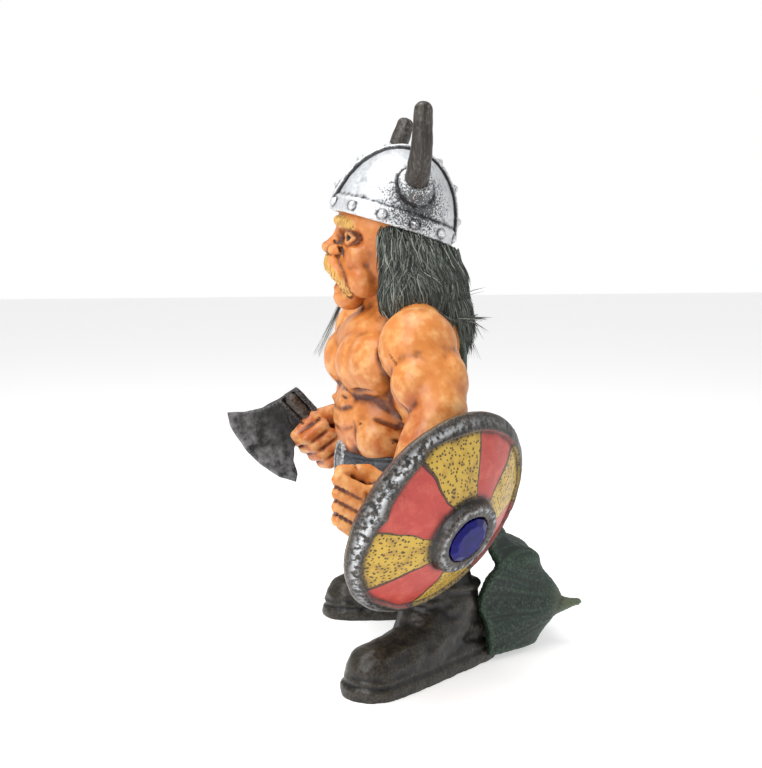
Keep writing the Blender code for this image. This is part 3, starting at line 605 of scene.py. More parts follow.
def painted(name, base, patch, shade_colour, lift, roughness, highlight_strength=0.5, grain=0.8, marks=()):
    """Painted casting: a base with patches of a second tone, marks in other paints, then painted shade and
    painted highlight.
    """
    material, tree, shader, vector = start_material(name, roughness)
    colour = mix_colour(tree, specks(tree, vector, 9.0, 0.6, 0.35), base, patch)
    for layer, paint in marks:
        if layer == "ochre":
            drawn_hairs = streaks(tree, vector, (2400, 2400, 330), 0.46, 0.16)
            paint = mix_colour(tree, drawn_hairs, paint, seen(92, 52, 18))
        colour = mix_colour(tree, mask(tree, layer), colour, paint)
    # Painted shade goes into the hollows and painted highlight onto the ridges.
    colour = shade_and_highlight(tree, vector, colour, shade_colour, lift, 1.0, highlight_strength, grain)
    tree.links.new(colour, shader.inputs["Base Color"])
    bump(tree, shader, specks(tree, vector, 0.45, 0.75, 0.5), 0.05, 0.6)
    return material


# In each painted material below, the third colour is painted shade for the hollows and the fourth painted
# highlight for the ridges.
skin_paint = painted(
    "painted skin",
    seen(214, 132, 62),
    seen(200, 116, 52),
    seen(78, 30, 12),
    seen(248, 198, 130),
    0.36,
    highlight_strength=0.55,
    grain=4.0,
    marks=(
        ("ochre", seen(214, 166, 78)),
        ("lip", seen(190, 96, 62)),
        # A reddish-brown: a redder tone on the face, and painted shade over the right fist and low on the
        # belly.
        ("flush_and_shade", seen(176, 82, 40)),
        ("shade", seen(84, 34, 16)),
        ("lash", seen(30, 14, 8)),
    ),
)
boot_tones = seen(26, 22, 18), seen(18, 16, 14), seen(5, 4, 3), seen(82, 73, 56)
boot_paint = painted("painted boots", *boot_tones, 0.38, highlight_strength=0.55)
trouser_tones = seen(36, 31, 29), seen(26, 23, 23), seen(7, 6, 6), seen(84, 75, 66)
trouser_paint = painted("painted trousers", *trouser_tones, 0.6)
belt_tones = seen(40, 44, 50), seen(30, 34, 40), seen(9, 9, 10), seen(96, 104, 112)
belt_paint = painted("painted belt", *belt_tones, 0.4)
buckle_tones = seen(120, 122, 124), seen(90, 92, 94), seen(16, 15, 14), seen(225, 225, 225)
buckle_paint = painted("painted buckle", *buckle_tones, 0.35, highlight_strength=1.0)

# %% [markdown]
# ## The head
# The skull under the helmet is one ball, and the face is built on it: a heavy brow, a pointed nose,
# cheeks, a jutting lower lip and a round chin, with a drooping moustache. It is a caricature of
# nobody. The finest strokes, hair grooves and wrinkles, are carved after the clay is joined.

# %% Head masses
HEAD_GRID = 0.36 * MM
EYE_RADIUS = 3.1
EYE_PLACE = (6.9, -15.4, 142.0)
LID_STEPS, LID_START, LID_SWEEP, LID_REACH = 8, -38, 122, EYE_RADIUS + 0.25
UPPER_LID, LOWER_LID = 34, -30


def lid_run(side, lift):
    """Places along an eyelid: over the ball from its inner corner round to its outer one."""
    run = []
    for step in range(LID_STEPS + 1):
        share = step / LID_STEPS
        turn = math.radians(LID_START + LID_SWEEP * share)
        up = math.radians(lift * math.sin(math.pi * share))
        x = side * (EYE_PLACE[0] + LID_REACH * math.sin(turn) * math.cos(up))
        y = EYE_PLACE[1] - LID_REACH * math.cos(turn) * math.cos(up)
        run.append((x, y, EYE_PLACE[2] + LID_REACH * math.sin(up)))
    return run


MOUSTACHE = (
    (0.9, -23.6, 135.2, 2.3),
    (3.4, -23.4, 133.2, 3.0),
    (6.2, -21.0, 129.6, 2.6),
    (7.6, -18.8, 126.2, 1.9),
    (8.0, -17.2, 123.4, 1.0),
)
head_clay, face_clay = bmesh.new(), bmesh.new()
tip_back = Matrix.Rotation(math.radians(-17.4), 4, "X")
ball(head_clay, (0, -3.4, 145.4), (16.9, 18.6, 20.0), tip_back)
ball(head_clay, (0, -7, 135), (14.2, 12.5, 15))
ball(head_clay, (0, -3, 130), (13, 14, 12))
roll(head_clay, (-8.5, -15.4, 146.6), (8.5, -15.4, 146.6), 4.2, 4.2)
ball(head_clay, (0, -17.4, 146.8), (6.5, 4.4, 4))
ball(head_clay, (0, -15.8, 132.2), (8.2, 8.4, 6.5))
ball(head_clay, (0, -14, 128), (8.2, 7.9, 7))
ball(head_clay, (0, -17.6, 122.4), (6.8, 5.8, 5.2))
roll(head_clay, (0, -19.0, 144.8), (0, -22.0, 140.4), 2.8, 3.0)
for side in (-1, 1):
    ball(head_clay, (side * 8.8, -13.8, 136.4), (5.6, 5.6, 5.2))
    ball(head_clay, (side * 8.2, -12.6, 128.6), (5.8, 6.2, 7.0))
    ball(head_clay, (side * 5.6, -15.6, 132), (5.6, 4.8, 5.4))
    ball(head_clay, (side * 10.6, -9.5, 142), (4.4, 5.6, 5.4))
run_of_rolls(face_clay, [((0, -21.9, 141.4), 2.2), ((0, -24.0, 139.2), 2.5)])
ball(face_clay, (0, -24.9, 139.2), (2.2, 2.2, 2.0))
roll(face_clay, (-3.4, -20.9, 125.0), (3.4, -20.9, 125.0), 2.0, 2.0)
for side in (-1, 1):
    ball(face_clay, (side * 2.9, -22.0, 138.0), (2.3, 2.9, 2.1))
    roll(face_clay, (side * 2.4, -20.4, 147.8), (side * 10.6, -16.2, 146.4), 2.2, 1.7)
    for lift in (UPPER_LID, LOWER_LID):
        run_of_rolls(face_clay, [(place, 0.72) for place in lid_run(side, lift)])
    run_of_rolls(face_clay, [((side * x, y, z), radius) for x, y, z, radius in MOUSTACHE])
for clay in (head_clay, face_clay):
    bmesh.ops.transform(clay, matrix=HEAD_TURN, verts=clay.verts)
sockets = []
for side in (-1, 1):
    hollow = [(side * 4.2, -20.5, 142.2), (side * 8.0, -18.6, 142.2), (side * 11.4, -14.8, 142.0)]
    sockets.append(([tuple(HEAD_TURN @ spot(*place) / MM) for place in hollow], 4.4, 3.0))
head = sculpted("head", head_clay, face_clay, 0.7 * MM, 22, HEAD_GRID, 4, sockets)

# %% [markdown]
# The strokes are given for the left half and mirrored, because the face is even. The helmet hides
# what is above its brim, so the skull is trimmed there and closed.

# %% Face strokes
face_strokes = both_sides(
    [
        ([(1.7, -24.0, 137.0)], 1.0, 1.1),
        ([(1.7, -22.8, 141.2), (4.3, -21.0, 140.3), (5.1, -20.4, 137.0)], 0.8, 0.55),
        ([(4.2, -20.6, 138.8), (7.4, -18.2, 134.6), (9.4, -15.4, 129.0)], 1.1, 0.8),
        ([(3.8, -19.4, 138.6), (7.5, -18.8, 137.5), (11.4, -15.0, 139.0)], 0.8, 0.5),
        ([(4.5, -19.4, 137.6), (7.8, -18.8, 136.2), (11.4, -14.8, 137.8)], 0.7, 0.3),
        ([(10.8, -14.6, 142.4), (13.2, -11.6, 144.0)], 0.6, 0.4),
        ([(10.9, -14.6, 141.4), (13.6, -11.2, 141.4)], 0.6, 0.4),
        ([(10.8, -14.8, 140.4), (13.2, -11.6, 139.0)], 0.6, 0.35),
        ([(1.0, -22.4, 150.2), (0.9, -22.0, 146.0)], 0.7, 0.5),
        ([(11.5, -12.5, 134.0), (12.2, -10.0, 128.0)], 2.6, 0.7),
        ([(4.5, -19.4, 123.8), (7.2, -16.6, 121.6)], 1.0, 0.5),
        ([(2.0, -21.8, 148.4), (6.0, -20.4, 148.5), (11.6, -15.2, 146.4)], 1.5, -0.55),
    ]
) + [
    ([(-4.8, -20.0, 127.3), (0, -23.2, 127.9), (4.8, -20.0, 127.3)], 1.1, 1.2),
    ([(-4.0, -20.6, 123.4), (0, -22.8, 123.2), (4.0, -20.6, 123.4)], 1.1, 0.6),
    ([(0, -24.4, 134.6), (0, -23.6, 131.0)], 0.9, 0.7),
]
carve(head, face_strokes, HEAD_TURN)
roughen(head, 1.6, 0.10)


def cut_off(obj, place, direction):
    """Removes what lies beyond a plane and closes the cut."""
    bm = bmesh.new()
    bm.from_mesh(obj.data)
    geometry = bm.verts[:] + bm.edges[:] + bm.faces[:]
    bmesh.ops.bisect_plane(bm, geom=geometry, plane_co=place, plane_no=direction, clear_outer=True)
    bmesh.ops.holes_fill(bm, edges=[e for e in bm.edges if e.is_boundary], sides=0)
    bmesh.ops.recalc_face_normals(bm, faces=bm.faces)
    bm.to_mesh(obj.data)
    bm.free()


helmet_up = (HELMET_TURN.to_3x3() @ Vector((0, 0, 1))).normalized()
cut_off(head, HELMET_TURN @ Vector((0, 0, 3 * MM)), helmet_up)

# %% Face paint masks
brow_run = [(2.0, -22.4, 148.0), (6.0, -20.9, 147.9), (11.2, -17.2, 146.2)]
moustache_run = [(1.0, -25.4, 135.4), (3.4, -25.6, 133.2), (6.2, -23.0, 129.4)]
moustache_run += [(7.6, -20.2, 125.8), (8.0, -18.4, 123.6)]
lash_run, under_lash = lid_run(1, UPPER_LID), lid_run(1, LOWER_LID)
lip_run = [(-3.6, -21.8, 125.6), (0, -22.6, 125.8), (3.6, -21.8, 125.6)]
cheek_run = [(8.5, -17.5, 136.5), (10.5, -15.5, 134)]
nose_run = [(0, -27, 139.2), (0, -26, 138)]
socket_run = [(3.0, -20.0, 144.4), (6.2, -19.0, 145.0), (10.0, -16.6, 144.2)]
socket_run += [(11.6, -13.6, 142.0), (10.6, -14.6, 139.4)]
face_side = [(10, -12, 137), (9, -12, 128)]
mark(head, "ochre", [brow_run, mirrored(brow_run)], 2.6, HEAD_TURN)
mark(head, "ochre", [moustache_run, mirrored(moustache_run)], 3.3, HEAD_TURN)
roughen(head, 0.6, 0.5, (1, 1, 0.16), only=kept(head, "ochre"))
mark(head, "lash", [lash_run, mirrored(lash_run), under_lash, mirrored(under_lash)], 0.7, HEAD_TURN)
mark(head, "lip", [lip_run], 1.9, HEAD_TURN, 0.7)
# A redder tone on the sides of the face, the cheeks and the nose.
mark(head, "flush_and_shade", [face_side, mirrored(face_side)], 11.0, HEAD_TURN, 0.28)
mark(head, "flush_and_shade", [cheek_run, mirrored(cheek_run), nose_run], 3.4, HEAD_TURN, 0.35)
mark(head, "shade", [socket_run, mirrored(socket_run)], 1.8, HEAD_TURN, 0.5)
mark(head, "shade", [[(9.5, -8, 119), (0, -14, 116.5), (-9.5, -8, 119)]], 4.0, HEAD_TURN, 0.6)
relief_masks(head, SKIN_EASINGS)
settled(head, "head", skin_paint, ["figure"])

# %% [markdown]
# ## The eyes
# Each eye is a ball behind the lids. A painter gives it a white, here darkened to a brown as painted
# shade for the deep socket, a brown iris and a black pupil, and the gloss of the varnish makes the
# highlight. The rings are measured from the point where the eye looks, kept as an attribute on the ball.

# %% Eyes
LOOK = Vector((0.55, -0.83, 0.03)).normalized()
eye_clay = bmesh.new()
eye_places = [spot(side * EYE_PLACE[0], EYE_PLACE[1], EYE_PLACE[2]) for side in (-1, 1)]
for place in eye_places:
    turn = HEAD_TURN @ Matrix.Translation(place)
    bmesh.ops.create_uvsphere(eye_clay, u_segments=48, v_segments=32, radius=EYE_RADIUS * MM, matrix=turn)
eyes = object_from(eye_clay, "eyes")
looks = [np.array(HEAD_TURN @ (place + LOOK * EYE_RADIUS * MM)) for place in eye_places]
from_look = np.min([np.linalg.norm(points_of(eyes.data) - look, axis=1) for look in looks], axis=0)
keep(eyes, "iris", from_look / MM)
eye_paint, tree, shader, vector = start_material("painted eye", 0.2, Coat_Weight=0.3)
ring_share = math_node(tree, "DIVIDE", mask(tree, "iris"), 4.0)
eye_rings = add_node(tree, "ShaderNodeValToRGB", {"Fac": ring_share})
rings = eye_rings.color_ramp
# The outer colour, the eye's white, is darkened to a brown: painted shade for the deep socket.
rings.elements[0].color, rings.elements[1].color = seen(8, 6, 6), seen(96, 70, 50)
rings.elements[1].position = 0.56
ring_tones = [(0.22, seen(10, 7, 6)), (0.26, seen(58, 34, 18))]
ring_tones += [(0.44, seen(44, 24, 12)), (0.50, seen(14, 9, 8))]
for position, colour in ring_tones:
    rings.elements.new(position).color = colour
tree.links.new(eye_rings.outputs["Color"], shader.inputs["Base Color"])
settled(eyes, "eyes", eye_paint)

# %% [markdown]
# ## Body and arms
# The chest, the belly and the arms are big masses, smeared together well. The fists close round the
# axe and the shield's grip, so their fingers are small rolls that are joined afterwards. Knife
# strokes then part the muscles, and finer ones cut the folds of the belly and the lines of the hands.

# %% Body masses
def arm(clay, side, elbow, wrist):
    shoulder = (side * 37, -3.5, 107.5)
    ball(clay, shoulder, (12.6, 12.6, 13))
    roll(clay, (side * 38, -3, 106), elbow, 11, 8.6)
    middle = [(a + b) / 2 for a, b in zip(shoulder, elbow)]
    ball(clay, (middle[0] + side, middle[1] - 4.8, middle[2] - 1), (8.6, 7.6, 9.5))
    ball(clay, (middle[0] + side * 2, middle[1] + 5.2, middle[2] - 1), (7.8, 6.9, 10))
    belly = tuple(a + (b - a) * 0.35 for a, b in zip(elbow, wrist))
    run_of_rolls(clay, [(elbow, 8.7), (belly, 8.3), (wrist, 5.7)])


def fist(clay, side, place, forward, thumb_side, size=1.0):
    """A closed hand round a grip that runs along thumb_side. Returns its wrist and its knuckle lines."""
    up = Vector(thumb_side).normalized()
    ahead = (Vector(forward) - up * up.dot(Vector(forward))).normalized()
    palm = Vector((-side, 0, 0))
    palm = (palm - up * up.dot(palm) - ahead * ahead.dot(palm)).normalized()

    def local(x, y, z):
        return tuple(place / MM + (ahead * x + palm * y + up * z) * size)

    lines = []
    for finger in range(4):
        level = 6.3 - finger * 4.1
        knuckle = local(1, -4.6, level - 2.2)
        bend = local(8.6 - finger * 0.4, -1.8, level + 1.2)
        tip_bend = local(6.0, 4.6, level + 0.6)
        tip = local(-1.5, 5.2, level - 0.4)
        roll(clay, local(-11, -0.5, level * 0.35), knuckle, 4.2 * size, 2.7 * size)
        joints = [(knuckle, 2.6), (bend, 2.25), (tip_bend, 2.1), (tip, 1.9)]
        run_of_rolls(clay, [(joint, radius * size) for joint, radius in joints])
        low = level - 2.05
        bend_gap = local(9.6 - finger * 0.4, -3.4, low + 1.2)
        lines.append([local(1.0, -7.6, low - 2.2), bend_gap, local(8.4, 4.6, low + 0.8)])
        lines.append([local(0.2, -7.2, level - 4.0), local(1.6, -7.4, level - 0.6)])
        lines.append([local(7.6, -5.4, level - 0.8), local(8.8, -4.8, level + 2.6)])
    thumb = [(local(-7, 0, 5), 3.6), (local(-1, 1.6, 9.4), 2.7), (local(7.5, 0.6, 9.6), 2.1)]
    run_of_rolls(clay, [(joint, radius * size) for joint, radius in thumb])
    lines.append([local(-2, 4.4, 8.2), local(7.4, 3.0, 7.9)])
    lines.append([local(3.0, -1.6, 11.4), local(3.2, 3.2, 11.2)])
    return local(-11, -0.5, 0), lines


BODY_GRID = 0.68 * MM
body_clay, hand_clay = bmesh.new(), bmesh.new()
ball(body_clay, (0, -2, 100), (29, 18, 23))
ball(body_clay, (0, -5, 81), (22.5, 18.3, 20))
ball(body_clay, (0, -4, 68), (22, 17, 10))
ball(body_clay, (0, -1, 117), (21, 11.5, 8))
ball(body_clay, (0, -9, 107), (24, 12.5, 11))
roll(body_clay, (0, 0, 114), (0, -1, 130), 13.5, 12)
for side in (-1, 1):
    ball(body_clay, (side * 11, -15, 100.5), (12, 9.9, 11))
    ball(body_clay, (side * 19, -12.5, 101), (12, 9.9, 10.5))
    ball(body_clay, (side * 25, 3, 96), (10, 12, 19))
    ball(body_clay, (side * 12, 9, 107), (14, 8, 14))
    ball(body_clay, (side * 16, -9.5, 76), (7.5, 10, 9))
    roll(body_clay, (side * 4, 3, 123), (side * 28, -1, 112.5), 8, 8)
    for row, height in enumerate((87.5, 80.5, 73.5)):
        ball(hand_clay, (side * 6.4, -16.4 + row, height), (6.7, 6.6, 4.4))
left_wrist, left_lines = fist(hand_clay, 1, LEFT_FIST, (0.05, -0.97, 0.1), (0, 0.1, 1))
arm(body_clay, 1, (51, 0, 89), left_wrist)
right_wrist, right_lines = fist(hand_clay, -1, RIGHT_FIST, (0.05, -0.7, -0.7), HAFT_TOP - RIGHT_FIST, 1.1)
arm(body_clay, -1, (-46, 2, 88), right_wrist)
body = sculpted("torso_and_arms", body_clay, hand_clay, 0.95 * MM, 10, BODY_GRID, 5)

# %% [markdown]
# The muscle lines are wide strokes with soft shoulders. A second, finer set cuts the creases that
# take the painted shade: the folds of the waist, the armpit, the elbow, and the gaps between fingers.

# %% Body strokes
middle_strokes = [([(0, -26, 114), (0, -28, 92)], 2.6, 1.7), ([(0, -26, 90), (0, -24, 71)], 1.9, 1.0)]
wide_strokes = middle_strokes + both_sides(
    [
        ([(2, -24, 90.5), (12, -22.5, 89), (22, -16, 92), (27, -11, 100)], 2.6, 1.9),
        ([(27, -11, 101), (29, -13, 112)], 2.4, 1.6),
        ([(14.5, -22, 88), (15, -20, 74)], 2.4, 1.4),
        ([(1, -24, 84.6), (7, -23.6, 84.0), (13, -21, 85.8)], 2.0, 0.8),
        ([(1, -24, 77.6), (7, -23.4, 77.0), (13, -21, 78.8)], 2.0, 0.8),
        ([(43, -12, 101), (45, -13, 93), (49, -8, 88)], 2.0, 0.9),
        ([(36, -16, 103), (41, -15.5, 97)], 1.8, 0.8),
        ([(20, -15, 88), (24, -6, 84), (25, 4, 82)], 1.9, 0.9),
        ([(21, -14, 83), (24, -5, 79), (25, 4, 77.5)], 1.6, 0.8),
        ([(20.5, -14, 78), (23.5, -5, 74.5), (24.5, 4, 73)], 1.5, 0.7),
        ([(26, 2, 104), (28, 6, 90)], 2.6, 1.1),
        ([(5, 14, 118), (4, 17, 100), (3, 18, 78)], 2.6, 1.1),
    ]
)
fine_strokes = both_sides(
    [
        ([(4, -25.5, 91.3), (13, -23.3, 89.6), (21, -17.5, 91.5)], 0.7, 0.45),
        ([(14, -20.5, 82.0), (18.5, -16.5, 80.2), (23, -9, 79.0)], 0.55, 0.4),
        ([(15, -19.5, 77.0), (19.0, -15.5, 75.6), (23, -8, 74.5)], 0.55, 0.4),
        ([(16, -18.5, 87.0), (20.0, -14.5, 85.2), (24, -6, 83.6)], 0.55, 0.35),
        ([(47, -8.0, 92), (51, -9.2, 89.5), (55, -7.6, 88.2)], 0.7, 0.5),
        ([(46.5, -7.0, 89.6), (50.5, -9.4, 87.2), (54.5, -8.6, 85.6)], 0.6, 0.4),
        ([(41, -14.6, 108), (45, -13.2, 104), (48.2, -9.4, 100.5)], 0.7, 0.35),
        ([(33.5, -15.4, 110), (38.0, -16.2, 105)], 0.6, 0.35),
        ([(53, -13.5, 79), (55.5, -17.5, 74)], 0.6, 0.35),
    ]
)
scar = [([(44.6, -12.5, 103.0), (47.8, -10.6, 100.0)], 0.5, 0.45)]
scar += [([(45.4, -11.0, 103.2), (47.0, -12.4, 99.8)], 0.4, 0.3)]
carve(body, wide_strokes + fine_strokes + scar)
carve(body, [(line, 0.75, 0.85) for line in left_lines + right_lines])
roughen(body, 3.4, 0.14)
roughen(body, 1.1, 0.04)
armpits = [(32, -12, 98), (29, -9, 90)]
mark(body, "shade", [armpits, mirrored(armpits)], 3.6, strength=0.55)
# Reddish-brown marks: a redder tone on the upper arms, along the thumbs and at the elbows, and painted shade
# over the right fist, which is in shade, and low on the belly and waist.
mark(body, "flush_and_shade", [[(38, -8, 93), (45, -6, 88)], [(-38, -8, 93), (-45, -6, 88)]], 9.0, strength=0.35)
mark(body, "flush_and_shade", [left_lines[12], right_lines[12]], 3.4, strength=0.5)
mark(body, "flush_and_shade", [[tuple(RIGHT_FIST / MM), tuple(HAFT_TOP / MM)]], 20.0, strength=0.6)
mark(body, "flush_and_shade", [[(50, -5, 92), (54, -9, 84)], [(-48, -5, 92), (-50, -9, 84)]], 8.0, strength=0.55)
mark(body, "flush_and_shade", [[(-14, -20, 72), (14, -20, 72)], [(22, -8, 74), (24, 4, 76)]], 9.0, strength=0.4)
mark(body, "shade", left_lines[0::3] + right_lines[0::3], 0.8, strength=0.8)
relief_masks(body, SKIN_EASINGS)
settled(body, "torso_and_arms", skin_paint)

# %% [markdown]
# ## Trousers, boots and belt
# The trousers tuck into slouched boots. Rolls of clay round each shaft make its soft folds, and a
# groove all round parts the sole from the upper. The belt is a band turned with the spin operator
# and then pressed to the waist's ellipse.

# %% Trousers and boots
LEFT_BOOT = ((13, -3, 50), (22, 8, 20), (21, 18), (46.4, -19.8))
RIGHT_BOOT = ((-13, -3, 50), (-25, 9, 20), (-26.5, 22), (-32.5, -11.4))
LEG_GRID = 0.7 * MM


def knee_of(hip, ankle):
    return ((hip[0] + ankle[0]) / 2, hip[1] + 5, 37)


def boot(leather, folds, hip, ankle, heel, toe):
    middle = tuple(heel[i] * 0.45 + toe[i] * 0.55 for i in range(2))
    roll(leather, knee_of(hip, ankle), ankle, 14.6, 14)
    roll(leather, (*ankle[:2], 16), (*heel, 10), 13.5, 8.5)
    roll(leather, (*ankle[:2], 15), (*middle, 8.5), 13, 9.8)
    roll(leather, (*middle, 7.6), (*toe, 6.0), 10.2, 9.4)
    roll(folds, (*heel, 1.4), (*middle, 1.4), 10.2, 11)
    roll(folds, (*middle, 1.4), (*toe, 1.4), 11, 10.6)
    for lift, lean, tilt in ((32, 1.2, 8), (27.6, -1.0, -7), (23.6, 0.8, 6), (19.8, -0.4, -5)):
        turn = Matrix.Rotation(math.radians(tilt), 4, "X")
        ball(folds, (ankle[0] - 1.5 + lean * 0.4, ankle[1] - 1 - lean, lift), (14.9, 15.4, 2.3), turn)


hip_clay, fold_clay = bmesh.new(), bmesh.new()
ball(hip_clay, (0, -3, 57), (22.5, 16.5, 13))
for hip, ankle, *_ in (LEFT_BOOT, RIGHT_BOOT):
    roll(hip_clay, hip, knee_of(hip, ankle), 15.5, 15)
    for lift, tilt in ((48, 10), (43.5, -8), (39.5, 7)):
        turn = Matrix.Rotation(math.radians(tilt), 4, "Y")
        centre = [hip[i] + (knee_of(hip, ankle)[i] - hip[i]) * (50 - lift) / 13 for i in range(2)]
        ball(fold_clay, (*centre, lift), (15.6, 15.9, 1.8), turn)
trousers = sculpted("trousers", hip_clay, fold_clay, 1.0 * MM, 6, 0.7 * MM, 4)
cut_off(trousers, spot(0, 0, 66), Vector((0, 0, 1)))
roughen(trousers, 5.0, 0.5, (1, 1, 2.2))
roughen(trousers, 1.3, 0.12)
relief_masks(trousers)
settled(trousers, "trousers", trouser_paint)

leather_clay, boot_folds = bmesh.new(), bmesh.new()
for shape in (LEFT_BOOT, RIGHT_BOOT):
    boot(leather_clay, boot_folds, *shape)
boots = sculpted("boots", leather_clay, boot_folds, 0.9 * MM, 6, LEG_GRID, 4)
cut_off(boots, spot(0, 0, 0), Vector((0, 0, -1)))
boot_points = points_of(boots.data)
above_sole = np.abs(boot_points[:, 2] / MM - 4.4)
outward = points_of(boots.data, "normal") * (1, 1, 0)
groove = 0.9 * MM * np.clip(1 - (above_sole / 1.1) ** 2, 0, 1) ** 2
put_points(boots.data, boot_points - outward * groove[:, None])
for _, ankle, heel, toe in (LEFT_BOOT, RIGHT_BOOT):
    way = Vector((toe[0] - heel[0], toe[1] - heel[1])).normalized()
    side_way = Vector((way.y, -way.x))
    for step, reach, depth in ((9, 12, 0.8), (13, 11, 0.7), (17, 10, 0.5)):
        centre = Vector(ankle[:2]) + way * step
        ends = [centre + side_way * reach * k for k in (-1, 0, 1)]
        run = [(*end, height) for end, height in zip(ends, (9, 24 - step * 0.5, 9))]
        carve(boots, [(run, 1.5, depth)])
roughen(boots, 4.5, 0.45, (1, 1, 1.6))
roughen(boots, 1.2, 0.12)
put_points(boots.data, np.maximum(points_of(boots.data), (-np.inf, -np.inf, 0)))
relief_masks(boots)
settled(boots, "boots", boot_paint)

# %% Belt and buckle
BELT_HALF = (22.6, 17)
belt_shape = bmesh.new()
made = bmesh.ops.create_circle(belt_shape, segments=28, radius=1)
for vert in made["verts"]:
    x, y = vert.co.x, vert.co.y
    width = math.copysign(abs(x) ** 0.6, x) * 1.7
    height = math.copysign(abs(y) ** 0.5, y) * 3.6
    vert.co = spot(BELT_HALF[0] + width, 0, height)
spun(belt_shape, belt_shape.edges[:], 180)
bmesh.ops.recalc_face_normals(belt_shape, faces=belt_shape.faces)
waist_shape = Matrix.Diagonal((1, BELT_HALF[1] / BELT_HALF[0], 1, 1))
press_to_waist = Matrix.Translation(spot(0, -3.8, 66.3)) @ waist_shape
bmesh.ops.transform(belt_shape, matrix=press_to_waist, verts=belt_shape.verts)
belt = object_from(belt_shape, "belt")
edge_lines = []
for height in (63.9, 68.7):
    for t in range(0, 360, 12):
        angles = [math.radians(t + k) for k in (0, 12)]
        edge_lines.append([(24.2 * math.sin(a), -3.8 - 18.3 * math.cos(a), height) for a in angles])
carve(belt, [(line, 0.55, 0.35) for line in edge_lines])
roughen(belt, 2.2, 0.22)
relief_masks(belt, ((4, 0.05), (20, 0.25)))
settled(belt, "belt", belt_paint)

buckle_shape = bmesh.new()
buckle_turn = Matrix.Translation(spot(0, -21.2, 66.6)) @ Matrix.Rotation(math.radians(82), 4, "X")
ring = bmesh.ops.create_circle(buckle_shape, segments=20, radius=1.15 * MM)
for vert in ring["verts"]:
    vert.co = Vector((vert.co.x + 5.6 * MM, 0, vert.co.y))
spun(buckle_shape, buckle_shape.edges[:], 72)
flat = Matrix.Diagonal((5.4 * MM, 5.4 * MM, 1.0 * MM, 1))
bmesh.ops.create_uvsphere(buckle_shape, u_segments=64, v_segments=24, radius=1, matrix=flat)
bmesh.ops.create_icosphere(buckle_shape, subdivisions=4, radius=1.5 * MM)
bmesh.ops.recalc_face_normals(buckle_shape, faces=buckle_shape.faces)
bmesh.ops.transform(buckle_shape, matrix=buckle_turn, verts=buckle_shape.verts)
buckle = smeared(object_from(buckle_shape, "buckle"), 0.3 * MM)
relief_masks(buckle, ((4, 0.05), (24, 0.3)))
settled(buckle, "buckle", buckle_paint)

# %% [markdown]
# ## Helmet
# The bowl is a ring profile turned with the spin operator and drawn out to the head's length. The
# crest, the sockets and the rivets are set on it, and the joining grid fuses them like a casting. Dull
# silver paint, painted shade in black in its corners, painted highlight on its raised edges and heavy
# black specks below the near horn finish it.

# %% Turned and swept shapes
def turned(name, profile, steps):
    """Spins a closed outline of (radius, height) in metres round Z."""
    bm = bmesh.new()
    verts = [bm.verts.new((radius, 0, height)) for radius, height in profile]
    edges = [bm.edges.new((a, b)) for a, b in zip(verts, verts[1:] + verts[:1])]
    spun(bm, edges, steps)
    bmesh.ops.remove_doubles(bm, verts=bm.verts, dist=0.002 * MM)
    bmesh.ops.recalc_face_normals(bm, faces=bm.faces)
    return bm


def tube(bm, rings, sides=24):
    """A closed tube through (place, radius, direction) rings, added to a bmesh."""
    rows = []
    for place, radius, along in rings:
        turn = along.to_track_quat("Z", "Y").to_matrix().to_4x4()
        matrix = Matrix.Translation(place) @ turn
        rows.append(bmesh.ops.create_circle(bm, segments=sides, radius=radius, matrix=matrix)["verts"])
    skinned(bm, rows)


# %% Helmet shape
HELMET_WIDTH, HELMET_LENGTH, HELMET_RISE, HELMET_WALL = 39 * MM, 42.5 * MM, 27.5 * MM, 1.7 * MM
BRIM_BAND, BRIM_PROUD = 5.3 * MM, 0.7 * MM
CREST_WIDTH, CREST_PROUD, RIVET_RADIUS = 4.6 * MM, 1.4 * MM, 1.4 * MM
HORN_RADIUS, HORN_TIP_RADIUS, HORN_LENGTH = 4.2 * MM, 3.0 * MM, 25.8 * MM
HELMET_GRID = 0.48 * MM
BOWL_STEPS = 44

half_width = HELMET_WIDTH / 2
inner_width, inner_rise = half_width - HELMET_WALL, HELMET_RISE - HELMET_WALL
leans = [math.pi / 2 * (1 - step / BOWL_STEPS) for step in range(BOWL_STEPS + 1)]
outside = [(half_width * math.cos(lean), HELMET_RISE * math.sin(lean)) for lean in leans]
inside = [(inner_width * math.cos(lean), inner_rise * math.sin(lean)) for lean in leans]
outside = [(radius + BRIM_PROUD if height < BRIM_BAND else radius, height) for radius, height in outside]
helmet_shape = turned("bowl", outside + inside[::-1], 120)
draw_out = Matrix.Diagonal((1, HELMET_LENGTH / HELMET_WIDTH, 1, 1))
bmesh.ops.transform(helmet_shape, matrix=draw_out, verts=helmet_shape.verts)

CREST_STEPS = 72
crest_rows = []
for step in range(CREST_STEPS + 1):
    lean = math.radians(6 + 168 * step / CREST_STEPS)
    row = []
    for proud, across in zip((CREST_PROUD, CREST_PROUD, -HELMET_WALL / 2, -HELMET_WALL / 2), (-1, 1, 1, -1)):
        ahead, rise = HELMET_LENGTH / 2 + proud, HELMET_RISE + proud
        place = (across * CREST_WIDTH / 2, -ahead * math.cos(lean), rise * math.sin(lean))
        row.append(helmet_shape.verts.new(place))
    crest_rows.append(row)
skinned(helmet_shape, crest_rows)

